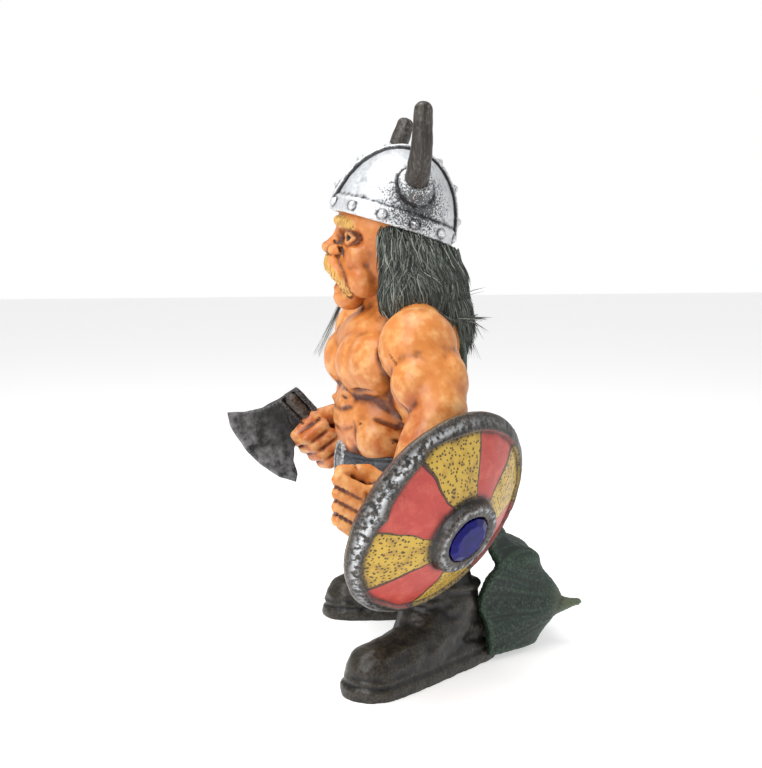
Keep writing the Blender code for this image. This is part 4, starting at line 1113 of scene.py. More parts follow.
BRIM_RIVETS, CREST_RIVETS = 12, 7
rivet_places = []
for k in range(BRIM_RIVETS):
    t = 2 * math.pi * (k + 0.5) / BRIM_RIVETS
    across, ahead = half_width + BRIM_PROUD, HELMET_LENGTH / 2 + BRIM_PROUD
    rivet_places.append(Vector((across * math.sin(t), -ahead * math.cos(t), BRIM_BAND / 2)))
for k in range(CREST_RIVETS):
    lean = math.pi * (k + 0.75) / (CREST_RIVETS + 0.5)
    ahead, rise = HELMET_LENGTH / 2 + CREST_PROUD, HELMET_RISE + CREST_PROUD
    rivet_places.append(Vector((0, -ahead * math.cos(lean), rise * math.sin(lean))))
for place in rivet_places:
    matrix = Matrix.Translation(place)
    bmesh.ops.create_icosphere(helmet_shape, subdivisions=3, radius=RIVET_RADIUS, matrix=matrix)
bmesh.ops.transform(helmet_shape, matrix=HELMET_TURN, verts=helmet_shape.verts)


def on_helmet(angle, lean):
    """A place on the helmet's outside: angle round it from the front, lean up from the brim."""
    level = Vector((half_width * math.sin(angle), -HELMET_LENGTH / 2 * math.cos(angle), 0))
    return HELMET_TURN @ (level * math.cos(lean) + Vector((0, 0, HELMET_RISE * math.sin(lean))))


def horn_run(side):
    """Base, first direction and last direction of a horn: it leaves the bowl outwards and turns up."""
    round_bowl, lean_back = (math.radians(97), 0.02) if side > 0 else (math.radians(84), 0.36)
    base = on_helmet(side * round_bowl, math.radians(34))
    return base, Vector((side * 0.8, 0, 0.6)).normalized(), Vector((side * 0.06, lean_back, 1)).normalized()


for side in (-1, 1):
    base, out, _ = horn_run(side)
    mouth = HORN_RADIUS + 1.2 * MM
    rings = [(base - out * 3.6 * MM, 7.2 * MM, out), (base - out * 1.4 * MM, 6.4 * MM, out)]
    rings += [(base + out * 0.4 * MM, 5.8 * MM, out), (base + out * 1.9 * MM, mouth + 0.3 * MM, out)]
    tube(helmet_shape, rings + [(base + out * 2.5 * MM, mouth, out)], 40)
helmet = smeared(object_from(helmet_shape, "helmet"), HELMET_GRID, 2)
roughen(helmet, 5.5, 0.22)
roughen(helmet, 1.6, 0.09)
relief_masks(helmet, ((4, 0.05), (20, 0.2), (60, 0.5)))
base, out, _ = horn_run(1)
# Black specks gather below the near horn, thickest a little under its foot.
horn_speck_reach = np.linalg.norm(points_of(helmet.data) - np.array(base - Vector((0, 0, 7 * MM))), axis=1) / MM
keep(helmet, "horn_specks", np.clip(1.35 - horn_speck_reach / 13, 0, 1))
crest_lines = []
for across in (-1, 1):
    for step in range(24):
        leans = [math.radians(7 + 166 * (step + k) / 24) for k in (0, 1)]
        ends = [Vector((across * 3.1, -21.6 * math.cos(a), 27.6 * math.sin(a))) * MM for a in leans]
        crest_lines.append([tuple(HELMET_TURN @ end / MM) for end in ends])
mark(helmet, "line", crest_lines, 1.5)
lines = kept(helmet, "line")
helmet_points = points_of(helmet.data)
for place in rivet_places:
    from_rivet = np.linalg.norm(helmet_points - np.array(HELMET_TURN @ place), axis=1) / MM
    lines = np.maximum(lines, 0.85 * np.clip(1 - np.abs(from_rivet - 1.75) / 0.45, 0, 1))
keep(helmet, "line", lines)

# %% Helmet paint
silver_paint, tree, shader, vector = start_material("dull silver paint", 0.38)
shader.inputs["Metallic"].default_value = 0.45
tarnish = specks(tree, vector, 4.5, 0.5, 0.3)
colour = mix_colour(tree, tarnish, seen(214, 217, 220), seen(172, 176, 182))
colour = mix_colour(tree, times(tree, mask(tree, "line"), 0.8), colour, seen(26, 26, 28))
# Painted shade in near-black in the hollows and painted highlight in near-white on the ridges.
silver = shade_and_highlight(tree, vector, colour, seen(24, 24, 26), seen(250, 250, 250), 1.15, 0.8, 0.7)
# Dark specks, thickest below the near horn.
horn_speck_values = {"Value": mask(tree, "horn_specks"), "To Min": 0.30, "To Max": 0.66}
horn_speck_cover = add_node(tree, "ShaderNodeMapRange", horn_speck_values).outputs["Result"]
black_specks = specks(tree, vector, 0.6, horn_speck_cover, 0.1)
horn_specked = mix_colour(tree, times(tree, black_specks, 0.85), silver, seen(30, 30, 32))
tree.links.new(horn_specked, shader.inputs["Base Color"])
bump(tree, shader, specks(tree, vector, 0.5, 0.7, 0.5), 0.06, 0.7)
settled(helmet, "helmet_shell", silver_paint, ["helmet"])

# %% [markdown]
# ## Horns
# Each horn is a tube that leaves its socket outwards and turns up, with long shallow grain that runs
# its length. The tips are worn: the dark paint is rubbed off them, and light streaks run down.

# %% Horns
HORN_STEPS, HORN_SIDES, HORN_TIP_STEPS = 42, 32, 9
horn_paint, tree, shader, vector = start_material("horn", 0.42)
grain = streaks(tree, vector, (1700, 1700, 130), 0.52, 0.25)
colour = mix_colour(tree, grain, seen(44, 39, 35), seen(92, 85, 76))
worn = times(tree, mask(tree, "worn"), specks(tree, vector, 1.2, 0.5, 0.4))
colour = mix_colour(tree, worn, colour, seen(140, 136, 128))
dark = times(tree, mask(tree, "foot"), 0.8)
colour = mix_colour(tree, dark, colour, seen(16, 14, 13))
tree.links.new(colour, shader.inputs["Base Color"])
bump(tree, shader, streaks(tree, vector, (2600, 2600, 200), 0.6, 0.5), 0.08, 0.8)

for side, name in ((1, "horn_left"), (-1, "horn_right")):
    base, out, up = horn_run(side)
    here, rings, shares = base.copy(), [], []
    for step in range(HORN_STEPS + 1):
        share = step / HORN_STEPS
        radius = HORN_RADIUS + (HORN_TIP_RADIUS - HORN_RADIUS) * share
        along = out.lerp(up, min(1, share * 1.6)).normalized()
        rings.append((here.copy(), radius, along))
        shares.append(share)
        here += along * (HORN_LENGTH / HORN_STEPS)
    tip = rings[-1][0]
    for k in range(1, HORN_TIP_STEPS):
        turn = math.pi / 2 * k / HORN_TIP_STEPS
        tip_place = tip + up * HORN_TIP_RADIUS * 0.85 * math.sin(turn)
        rings.append((tip_place, HORN_TIP_RADIUS * math.cos(turn), up))
        shares.append(1.0)
    bm = bmesh.new()
    tube(bm, rings, HORN_SIDES)
    horn = object_from(bm, name + "_finish")
    roughen(horn, 1.6, 0.28, (1, 1, 0.12))
    roughen(horn, 3.0, 0.2)
    share_of = np.repeat(shares, HORN_SIDES)
    keep(horn, "worn", np.clip(share_of * 2.2 - 1.3, 0, 1))
    keep(horn, "foot", np.clip(1 - share_of * 7, 0, 1))
    settled(horn, name + "_finish", horn_paint, [name])

# %% [markdown]
# ## Shield
# The shield is turned as one closed outline: a domed field, a raised rim, a ring round the stone and
# a hollow back. The rim's inner edge wanders, as the hand-made original's does. A UV map laid flat on
# the shield's own plane carries the painted pattern.

# %% Shield shape
SHIELD_RADIUS, SHIELD_RISE, SHIELD_EDGE, SHIELD_HOLLOW = 35.5, 13.8, 2.2, 7.0
RIM_INNER, RIM_PROUD = 31.5, 1.1
BOSS_RADIUS, BOSS_HEIGHT = 12.3, 3.6
GEM_RADIUS, GEM_HEIGHT, GEM_PROUD = 7.6, 2.4, 1.0
SHIELD_STEPS = 240


def shield_place():
    """Turns the shield's own frame, axis +Z out of its face and +Y up its height, into the world."""
    across = Vector((0, 0, 1)).cross(SHIELD_AXIS).normalized()
    up = SHIELD_AXIS.cross(across)
    return Matrix.Translation(SHIELD_CENTRE) @ Matrix((across, up, SHIELD_AXIS)).transposed().to_4x4()


def dome(radius):
    return SHIELD_EDGE + (SHIELD_RISE - SHIELD_EDGE) * (1 - (radius / SHIELD_RADIUS) ** 1.8)


def stepped(places, spacing):
    """Fills a run of places so that no two lie farther apart than the spacing."""
    run = []
    for a, b in zip(places, places[1:]):
        count = max(1, round(math.dist(a, b) / spacing))
        run += [(a[0] + (b[0] - a[0]) * k / count, a[1] + (b[1] - a[1]) * k / count) for k in range(count)]
    return run + [places[-1]]


boss_top = dome(BOSS_RADIUS) + BOSS_HEIGHT
seat = GEM_RADIUS + 0.3
front = [(0.0, boss_top - 2.0), (seat, boss_top - 2.0), (seat, boss_top - 0.4), (seat + 0.5, boss_top)]
front += [(BOSS_RADIUS - 1.4, boss_top), (BOSS_RADIUS - 0.5, boss_top - 0.7)]
front += [(BOSS_RADIUS, dome(BOSS_RADIUS) + 0.6), (BOSS_RADIUS + 0.5, dome(BOSS_RADIUS + 0.5))]
front += [(r, dome(r)) for r in np.linspace(BOSS_RADIUS + 1.2, RIM_INNER - 0.5, 40)]
front += [(RIM_INNER, dome(RIM_INNER) + RIM_PROUD * 0.7), (RIM_INNER + 0.5, dome(RIM_INNER) + RIM_PROUD)]
front += [(33.6, dome(33.6) + RIM_PROUD), (34.7, SHIELD_EDGE + 1.0)]
front += [(35.3, SHIELD_EDGE), (SHIELD_RADIUS, 1.4)]
back = [(35.2, 0.3), (34.6, 0.0), (29.0, 0.0)]
back += [(29.0 * k, SHIELD_HOLLOW * (1 - k * k)) for k in np.linspace(0.95, 0.0, 12)]
outline = [(r * MM, h * MM) for r, h in stepped(front + back, 0.5)]
shield_shape = turned("shield", outline, SHIELD_STEPS)
shield = object_from(shield_shape, "shield")

WANDER_DEGREES = (0, 190, 207, 221, 243, 255, 265, 277, 283, 291, 302, 319, 327, 332, 345, 360)
WANDER_RADII = (31.5, 31.5, 30.9, 32.2, 32.3, 32.1, 31, 30, 28.8, 29.8, 30.2, 31, 33.1, 32.4, 31.5, 31.5)
places = points_of(shield.data) / MM
reach = np.hypot(places[:, 0], places[:, 1])
clock = np.degrees(np.arctan2(places[:, 0], places[:, 1])) % 360
shift = np.interp(clock, WANDER_DEGREES, WANDER_RADII) - RIM_INNER
in_front = places[:, 2] > 1.0
blend = np.clip(1 - np.abs(reach - RIM_INNER) / 3.6, 0, 1) * in_front
moved = reach + shift * blend
places[:, :2] *= (moved / np.maximum(reach, 1e-6))[:, None]
dome_after, dome_before = (dome(np.minimum(value, SHIELD_RADIUS)) for value in (moved, reach))
places[:, 2] += np.where(in_front, dome_after - dome_before, 0) * (blend > 0)
on_rim = np.clip((reach - RIM_INNER + 0.25) / 0.5, 0, 1) * in_front
on_boss = np.clip((BOSS_RADIUS + 0.5 - reach) / 0.5, 0, 1) * in_front
behind = 1.0 - in_front
# Painted highlight on the rim's raised crest, strongest on its upper left where the light falls, and a
# fainter one round the ring about the stone.
upper_left = np.clip(1.3 - np.abs((clock - 285) / 62), 0, 1)
metal_highlight = np.clip(1.2 - np.abs(reach - 33.9) / 1.1, 0, 1) * (0.15 + 0.85 * upper_left) * in_front
metal_highlight = np.maximum(metal_highlight, 0.55 * np.clip(1.2 - np.abs(reach - 10.4) / 0.9, 0, 1) * in_front)
put_points(shield.data, places * MM)

layer = shield.data.uv_layers.new(name="plan")
corner_verts = np.empty(len(shield.data.loops), np.int64)
shield.data.loops.foreach_get("vertex_index", corner_verts)
plan = places[corner_verts, :2] / (2 * SHIELD_RADIUS) + 0.5
layer.data.foreach_set("uv", plan.astype(np.float32).ravel())
for name, values in (("rim", on_rim), ("boss", on_boss), ("behind", behind), ("metal_highlight", metal_highlight)):
    keep(shield, name, values)

# %% [markdown]
# A file's marks on the rim and small hammer dents on the ring round the stone are pressed in, each
# dent at its own seeded place. The field gets only a faint unevenness, so its paint reads clean.

# %% Shield dents
dent_chance = random.Random(11)
BOSS_DENTS, RIM_MARKS = 34, 70
ring_dents = []
for k in range(BOSS_DENTS):
    t = 2 * math.pi * (k + dent_chance.uniform(-0.3, 0.3)) / BOSS_DENTS
    r = dent_chance.uniform(8.8, 11.6)
    place = (r * math.sin(t), r * math.cos(t), boss_top)
    ring_dents.append(([place], dent_chance.uniform(0.7, 1.3), dent_chance.uniform(0.25, 0.5)))
for k in range(RIM_MARKS):
    t = 2 * math.pi * (k + dent_chance.uniform(-0.4, 0.4)) / RIM_MARKS
    a, b = (dent_chance.uniform(*span) for span in ((31.6, 33), (33.6, 35.4)))
    turn = t + dent_chance.uniform(-0.05, 0.05)
    inner_end = (a * math.sin(t), a * math.cos(t), dome(a) + 1)
    outer_end = (b * math.sin(turn), b * math.cos(turn), dome(min(b, 35.4)))
    ring_dents.append(([inner_end, outer_end], dent_chance.uniform(0.5, 1.1), dent_chance.uniform(0.12, 0.3)))
carve(shield, ring_dents)
roughen(shield, 6.0, 0.25)
roughen(shield, 1.4, 0.08, only=np.clip(on_rim + on_boss + 0.25, 0, 1))
relief_masks(shield, ((4, 0.09), (24, 0.3)))

# %% Shield paint
shield_paint, tree, shader, vector = start_material("shield paint", 0.36)
plan_node = add_node(tree, "ShaderNodeUVMap", uv_map="plan").outputs["UV"]


def vector_math(tree, operation, inputs):
    return add_node(tree, "ShaderNodeVectorMath", inputs, operation=operation).outputs["Vector"]


centred = vector_math(tree, "SUBTRACT", {0: plan_node, 1: (0.5, 0.5, 0.0)})
hand_values = {"Vector": centred, "Scale": 9.0, "Detail": 1.0}
hand = add_node(tree, "ShaderNodeTexNoise", hand_values, noise_dimensions="2D").outputs["Color"]
wobble = vector_math(tree, "SUBTRACT", {0: hand, 1: (0.5, 0.5, 0.5)})
wobble = vector_math(tree, "SCALE", {0: wobble, "Scale": 0.03})
drawn = vector_math(tree, "ADD", {0: centred, 1: wobble})
axes = add_node(tree, "ShaderNodeSeparateXYZ", {"Vector": drawn}).outputs
clock_turn = math_node(tree, "DIVIDE", math_node(tree, "ARCTAN2", axes["X"], axes["Y"]), 2 * math.pi)
clock_turn = math_node(tree, "FRACT", math_node(tree, "ADD", clock_turn, 1.0))
DIVIDERS = (3, 40, 86, 135, 182, 230, 273, 320)
DIVIDER_HALF = 0.9


def turn_ramp(tree, stops, fallback):
    """Constant colours round the turn, from (degrees, colour) stops."""
    ramp = add_node(tree, "ShaderNodeValToRGB", {"Fac": clock_turn})
    ramp.color_ramp.interpolation = "CONSTANT"
    ramp.color_ramp.elements[0].color = fallback
    first = ramp.color_ramp.elements[1]
    first.position, first.color = stops[0][0] / 360, stops[0][1]
    for degrees, colour in stops[1:]:
        ramp.color_ramp.elements.new(degrees / 360).color = colour
    return ramp.outputs["Color"]


WHITE, BLACK = (1, 1, 1, 1), (0, 0, 0, 1)
yellow_share = turn_ramp(tree, [(d, BLACK if k % 2 == 0 else WHITE) for k, d in enumerate(DIVIDERS)], WHITE)
divider_stops = []
for degrees in DIVIDERS:
    divider_stops += [(degrees - DIVIDER_HALF, WHITE), (degrees + DIVIDER_HALF, BLACK)]
divider_share = turn_ramp(tree, divider_stops, BLACK)

worn_red = mix_colour(tree, specks(tree, vector, 5.0, 0.55, 0.3), seen(188, 64, 56), seen(206, 92, 76))
worn_red = mix_colour(tree, specks(tree, vector, 0.6, 0.36, 0.1), worn_red, seen(120, 36, 32))
worn_yellow = mix_colour(tree, specks(tree, vector, 4.0, 0.55, 0.3), seen(204, 168, 62), seen(164, 126, 44))
dot_values = {"Vector": drawn, "Scale": 50.0, "Randomness": 1.0}
dots = add_node(tree, "ShaderNodeTexVoronoi", dot_values, voronoi_dimensions="2D").outputs["Distance"]
dot_size = add_node(tree, "ShaderNodeTexNoise", {"Vector": vector, "Scale": 500.0, "Detail": 2.0})
dot_edge = math_node(tree, "ADD", times(tree, dot_size.outputs["Fac"], 0.34), 0.06)
edge_values = {"Value": math_node(tree, "SUBTRACT", dots, dot_edge), "From Min": 0.03, "From Max": -0.03}
dot_share = add_node(tree, "ShaderNodeMapRange", edge_values).outputs["Result"]
worn_yellow = mix_colour(tree, times(tree, dot_share, 0.88), worn_yellow, seen(34, 26, 14))
field = mix_colour(tree, yellow_share, worn_red, worn_yellow)
field = mix_colour(tree, times(tree, divider_share, 0.85), field, seen(30, 18, 14))
charcoal = mix_colour(tree, specks(tree, vector, 1.0, 0.46, 0.2), seen(26, 27, 28), seen(58, 57, 56))
# Painted highlight: lighter grey on the metal's ridges, and near-white glints along the highlight mask.
ridge_highlight = times(tree, mask(tree, "ridge"), specks(tree, vector, 1.3, 0.42, 0.3), clamp=True)
charcoal = mix_colour(tree, times(tree, ridge_highlight, 0.6), charcoal, seen(150, 150, 148))
metal_glints = times(tree, mask(tree, "metal_highlight"), specks(tree, vector, 1.6, 0.56, 0.14), clamp=True)
charcoal = mix_colour(tree, metal_glints, charcoal, seen(218, 221, 224))
edging = math_node(tree, "ADD", mask(tree, "rim"), mask(tree, "boss"), clamp=True)
colour = mix_colour(tree, edging, field, charcoal)
colour = mix_colour(tree, mask(tree, "behind"), colour, seen(70, 60, 50))
# Painted shade in the hollows and a faint painted highlight on the ridges.
colour = shade_and_highlight(tree, vector, colour, seen(18, 12, 10), seen(230, 200, 170), 1.0, 0.12, 0.7)
tree.links.new(colour, shader.inputs["Base Color"])
bump(tree, shader, specks(tree, vector, 0.5, 0.7, 0.5), 0.05, 0.6)

arm_blocks = bmesh.new()
arm_blocks.from_mesh(shield.data)
bmesh.ops.transform(arm_blocks, matrix=shield_place(), verts=arm_blocks.verts)
for place in (spot(55.5, -15, 70), spot(52.5, -3, 84)):
    behind_by = (SHIELD_CENTRE - place).dot(SHIELD_AXIS)
    flat_place = place + SHIELD_AXIS * behind_by
    share = (flat_place - SHIELD_CENTRE).length / (29 * MM)
    sunk = (max(0.0, SHIELD_HOLLOW * (1 - share * share)) + 1.1) * MM
    ends = (flat_place + SHIELD_AXIS * sunk, place)
    tube(arm_blocks, [(end, 4.5 * MM, -SHIELD_AXIS) for end in ends], 32)
arm_blocks.to_mesh(shield.data)
arm_blocks.free()
settled(shield, "shield_face", shield_paint, ["shield"])

# %% [markdown]
# ## The stone
# A round stone cut with a ring of facets round a flat table. Bevelled edges catch a thin light line,
# and a glossy deep blue with cloudy tones gives it depth.

# %% Stone
GEM_FACETS, GEM_TABLE = 12, 0.72
stone_shape = bmesh.new()
gem_top = boss_top + GEM_PROUD
girdle = [(GEM_RADIUS, gem_top - GEM_HEIGHT), (GEM_RADIUS, gem_top - GEM_PROUD)]
stone_rows = []
for radius, height in girdle + [(GEM_RADIUS * GEM_TABLE, gem_top)]:
    matrix = Matrix.Translation((0, 0, height * MM))
    made = bmesh.ops.create_circle(stone_shape, segments=GEM_FACETS, radius=radius * MM, matrix=matrix)
    stone_rows.append(made["verts"])
skinned(stone_shape, stone_rows)
stone_edges = stone_shape.edges[:]
bmesh.ops.bevel(
    stone_shape, geom=stone_edges, offset=0.14 * MM, segments=2, profile=0.5, affect="EDGES", material=-1
)
bmesh.ops.transform(stone_shape, matrix=shield_place(), verts=stone_shape.verts)
stone_paint, tree, shader, vector = start_material("blue stone", 0.12, Specular_IOR_Level=0.14)
cloud = specks(tree, vector, 3.0, 0.55, 0.4)
tree.links.new(mix_colour(tree, cloud, seen(10, 8, 92), seen(20, 20, 136)), shader.inputs["Base Color"])
stone = object_from(stone_shape, "stone")
settled(stone, "stone", stone_paint, ["shield_gem"])
stone.data.shade_flat()

# %% [markdown]
# ## Cape
# The cape falls from the shoulders, narrow behind the back, and sweeps out to a drawn point behind the
# boots. One function gives the place of each point of a grid. The grid gets a wall, is joined, and then
# long fine brush ridges are pressed into it, all running down and out to the point.

# %% Cape shape
CAPE_THICKNESS = 3.4 * MM
CAPE_GRID = 0.72 * MM
CAPE_BACK = ((0, 18.5), (0.12, 20.5), (0.35, 20), (0.62, 29.5))
CAPE_BACK += ((0.67, 31.5), (0.74, 44), (0.87, 52.5), (1, 43))


def ease_between(value, places):
    """A smooth curve through (value, result) pairs in rising order."""
    for (a, x), (b, y) in zip(places, places[1:]):
        if value <= b:
            share = max(0.0, (value - a) / (b - a))
            share = share * share * (3 - 2 * share)
            return x + (y - x) * share
    return places[-1][1]


def cape_point(across, down):
    """Where a point of the cape lies: across from -1 to 1, down from 0 to 1."""
    height = 115 - 113.0 * down
    half = ease_between(down, ((0, 22), (0.3, 15), (0.55, 15), (0.78, 26.5), (1, 26.5)))
    x = across * half + ease_between(down, ((0, -1), (0.55, 0), (0.78, 4), (1, 3)))
    upper_bow = ease_between(down, ((0, 5), (0.35, 2.5), (0.6, 3))) * across * across
    edge = ease_between(down, ((0, 17), (0.75, 17), (0.86, 26), (1, 17)))
    turned_edge = edge * max(0, x - 16) ** 2 / 13**2 + 4 * (max(0, 16 - x) / 40) ** 2
    lower = ease_between(down, ((0, 0), (0.5, 0), (0.75, 1), (1, 1)))
    folds = 1.2 * math.sin(across * 9 + down * 2) * min(1, down * 2)
    y = ease_between(down, CAPE_BACK) - upper_bow * (1 - lower) - turned_edge * lower + folds
    return spot(x, y, height)


sheet = bmesh.new()
bmesh.ops.create_grid(sheet, x_segments=60, y_segments=110, size=1)
for vert in sheet.verts:
    vert.co = cape_point(vert.co.x, (1 - vert.co.y) / 2)
bmesh.ops.recalc_face_normals(sheet, faces=sheet.faces)
cape = object_from(sheet, "cape")
wall = cape.modifiers.new("Wall", "SOLIDIFY")
wall.thickness = CAPE_THICKNESS
wall.offset = 0
wall.use_even_offset = True
baked(cape)
corner = bmesh.new()
corner.from_mesh(cape.data)
roll(corner, (16, 46, 13.5), (19.5, 56, 15), 5.6, 2.0)
roll(corner, (19.5, 55.5, 15), (20.5, 59.5, 15.6), 1.9, 1.3)
corner.to_mesh(cape.data)
corner.free()
smeared(cape, CAPE_GRID, 6)
cut_off(cape, spot(0, 0, 0.35), Vector((0, 0, -1)))

CAPE_TIP = np.array(spot(20.5, 59.5, 15.6))
cape_points, cape_normals = points_of(cape.data), points_of(cape.data, "normal")
from_tip = (cape_points - CAPE_TIP) / MM
low_part = np.clip((62 - cape_points[:, 2] / MM) / 22, 0, 1)
spread = np.degrees(np.arctan2(from_tip[:, 2], -from_tip[:, 1] * 0.55 - np.abs(from_tip[:, 0]) * 0.9))
upper_lines = cape_points[:, 0] / MM * 5.0
ridge_line = upper_lines * (1 - low_part) + spread * 1.35 * low_part
run_along = cape_points[:, 2] / MM * 0.05
lift = []
for a, b in zip(ridge_line, run_along):
    lift.append(noise.noise((a * 0.34, b * 3, 3.0)) * 0.20 + noise.noise((a * 1.3, b * 6, 9.0)) * 0.18)
put_points(cape.data, cape_points + cape_normals * (np.array(lift) * MM)[:, None])
fold_runs = [([(5, 24, 108), (4, 24, 70), (9, 36, 40)], 2.6, 1.0), ([(12, 22, 105), (10, 26, 60)], 2.2, 0.9)]
carve(cape, both_sides(fold_runs))
keep(cape, "comb", ridge_line)
keep(cape, "tip", np.clip(1.4 - np.linalg.norm(from_tip, axis=1) / 9, 0, 1))
relief_masks(cape, ((4, 0.05), (24, 0.3)))

# %% Cape paint
cape_paint, tree, shader, vector = start_material("painted cape", 0.5)
comb_place = add_node(tree, "ShaderNodeCombineXYZ", {"X": mask(tree, "comb")}).outputs["Vector"]
height_place = add_node(tree, "ShaderNodeSeparateXYZ", {"Vector": vector}).outputs["Z"]
tree.links.new(times(tree, height_place, 40.0), comb_place.node.inputs["Y"])
fibres = streaks(tree, comb_place, (0.9, 1.0, 1.0), 0.52, 0.3)
colour = mix_colour(tree, fibres, seen(9, 33, 23), seen(30, 65, 46))
tones = specks(tree, vector, 9.0, 0.55, 0.35)
colour = mix_colour(tree, times(tree, tones, 0.6), colour, seen(12, 28, 22))
colour = mix_colour(tree, times(tree, mask(tree, "tip"), 0.8), colour, seen(112, 118, 92))
# Painted shade in the hollows and painted highlight in a pale green on the ridges.
colour = shade_and_highlight(tree, vector, colour, seen(5, 10, 8), seen(88, 112, 90), 1.0, 0.65, 0.6)
tree.links.new(colour, shader.inputs["Base Color"])
bump(tree, shader, fibres, 0.12, 0.7)
settled(cape, "cape_finish", cape_paint, ["cape"])

# %% [markdown]
# ## The fur wig
# The original wears a real tuft of grey fur. A dark base gives its mass, and thousands of thin hairs
# lie over it. Each hair starts on the base and follows it down: every step goes a little way along the
# flow, and then comes back to the nearest point of the base. Hairs are bevelled curves turned to mesh,
# so they stay in the exported model, and each carries a shade of its own.

# %% Wig base
wig_clay, core_clay = bmesh.new(), bmesh.new()
ball(wig_clay, (0, 2.5, 134), (20.5, 17.5, 17))
ball(wig_clay, (0, 8, 125), (21.5, 14.5, 15))
ball(wig_clay, (0, 13.2, 115.5), (20, 10.4, 13.5))
roll(wig_clay, (0, 17.4, 114), (0, 20.5, 103), 7.2, 3.8)
for side in (-1, 1):
    ball(wig_clay, (side * 14, -1, 131), (8.2, 13, 17))
    ball(wig_clay, (side * 18, 2.5, 123), (9.5, 11, 8.5))
    roll(wig_clay, (side * 9, 16.4, 116), (side * 10, 19.6, 105), 7.2, 3.8)
roll(core_clay, (0, 14, 130), (0, 15, 120), 3, 3)
for clay in (wig_clay, core_clay):
    bmesh.ops.transform(clay, matrix=HEAD_TURN, verts=clay.verts)
wig = sculpted("wig", wig_clay, core_clay, 1.1 * MM, 8, 0.8 * MM, 2)


def cut_with_box(obj, place, size, centre):
    """Cuts a box out of an object."""
    bm = bmesh.new()
    shape = Matrix.Translation(spot(*centre)) @ Matrix.Diagonal((*(v * MM for v in size), 1))
    bmesh.ops.create_cube(bm, size=1, matrix=place @ shape)
    cut_out(obj, bm)


cut_with_box(wig, HELMET_TURN, (60, 60, 40), (0, 0, 20.2))
cut_with_box(wig, HEAD_TURN @ Matrix.Translation(spot(0, 0, 130)), (80, 40, 80), (0, -28.0, 0))
cut_with_box(wig, Matrix(), (46, 16.4, 31.4), (0, 13.4, 100))
smeared(wig, 0.8 * MM, 3)
relief_masks(wig, ((6, 0.2),))

# %% Hairs
HAIR_COUNT = 2900
HAIR_STEPS = 5
HAIR_STEP = 2.5 * MM
HAIR_RADIUS = 0.155 * MM
HAIR_TAPER = (1.0, 1.1, 1.0, 0.7, 0.12)
hair_chance = random.Random(5)
base_mesh = bmesh.new()
base_mesh.from_mesh(wig.data)
bmesh.ops.triangulate(base_mesh, faces=base_mesh.faces)
wig_skin = BVHTree.FromBMesh(base_mesh)
areas = np.array([face.calc_area() for face in base_mesh.faces])
into_head = HEAD_TURN.inverted()
FACE_OPENING = -8.8 * MM
brim_low = HELMET_TURN @ Vector((0, 0, 0))


def hair_path(start, normal, steps, wild):
    """A run of places over the base, falling, drifting to the back and lifting a little at its end."""
    drift = Vector((hair_chance.gauss(0, 0.18), hair_chance.gauss(0.08, 0.2), -1.0)).normalized()
    place, out = start, normal
    height = hair_chance.uniform(0.1, 0.9) * MM
    run = [place + out * height]
    for step in range(1, steps):
        wave = Vector((hair_chance.gauss(0, 0.16), hair_chance.gauss(0, 0.16), 0))
        way = drift + wave
        way = (way - out * way.dot(out)).normalized()
        ahead = place + way * HAIR_STEP
        near, skin_normal, _, far = wig_skin.find_nearest(ahead)
        free = far > 0.9 * MM or skin_normal.z < -0.55
        place = ahead if free else near
        out = out if free else skin_normal
        run.append(place + out * (height + wild * step * step * 0.05 * MM))
    return run


def strands(name, runs, radii, resolution, draw_shade):
    """Bevelled curves through runs of places, as one mesh that keeps a drawn shade for each strand."""
    curve = bpy.data.curves.new(name, "CURVE")
    curve.dimensions = "3D"
    curve.bevel_depth = HAIR_RADIUS
    curve.bevel_resolution = resolution
    for run in runs:
        spline = curve.splines.new("POLY")
        spline.points.add(len(run) - 1)
        for point, place, radius in zip(spline.points, run, radii):
            point.co, point.radius = (*place, 1), radius
    shape = bpy.data.objects.new(name, curve)
    bpy.context.scene.collection.objects.link(shape)
    graph = bpy.context.evaluated_depsgraph_get()
    mesh = bpy.data.meshes.new_from_object(shape.evaluated_get(graph))
    bpy.data.objects.remove(shape)
    obj = bpy.data.objects.new(name, mesh)
    bpy.context.scene.collection.objects.link(obj)
    keep(obj, "shade", np.repeat([draw_shade() for _ in runs], len(mesh.vertices) // len(runs)))
    return obj


def hair_layer(name, wild):
    """A layer of hairs that start at seeded places all over the base."""
    picks = hair_chance.choices(base_mesh.faces[:], weights=areas, k=HAIR_COUNT * 3)
    runs = []
    for face in picks:
        a, b, c = (vert.co for vert in face.verts)
        u, v = sorted((hair_chance.random(), hair_chance.random()))
        start = a * u + b * (v - u) + c * (1 - v)
        if len(runs) == HAIR_COUNT or not outside_hair(start, face.normal):
            continue
        run = hair_path(start, face.normal, HAIR_STEPS, wild)
        if min((into_head @ place).y for place in run) >= FACE_OPENING:
            runs.append(run)
    return strands(name, runs, HAIR_TAPER, 0, lambda: hair_chance.betavariate(1.6, 2.4))


def outside_hair(start, normal):
    """Leaves out the cut faces: the top under the helmet, the face opening and what lies on the cape."""
    below_brim = (start - brim_low).dot(helmet_up) < -0.2 * MM
    low_end = start.y > 8 * MM and start.z < hair_chance.uniform(108, 119) * MM
    return below_brim and normal.dot(helmet_up) < 0.9 and normal.y > -0.8 and not low_end


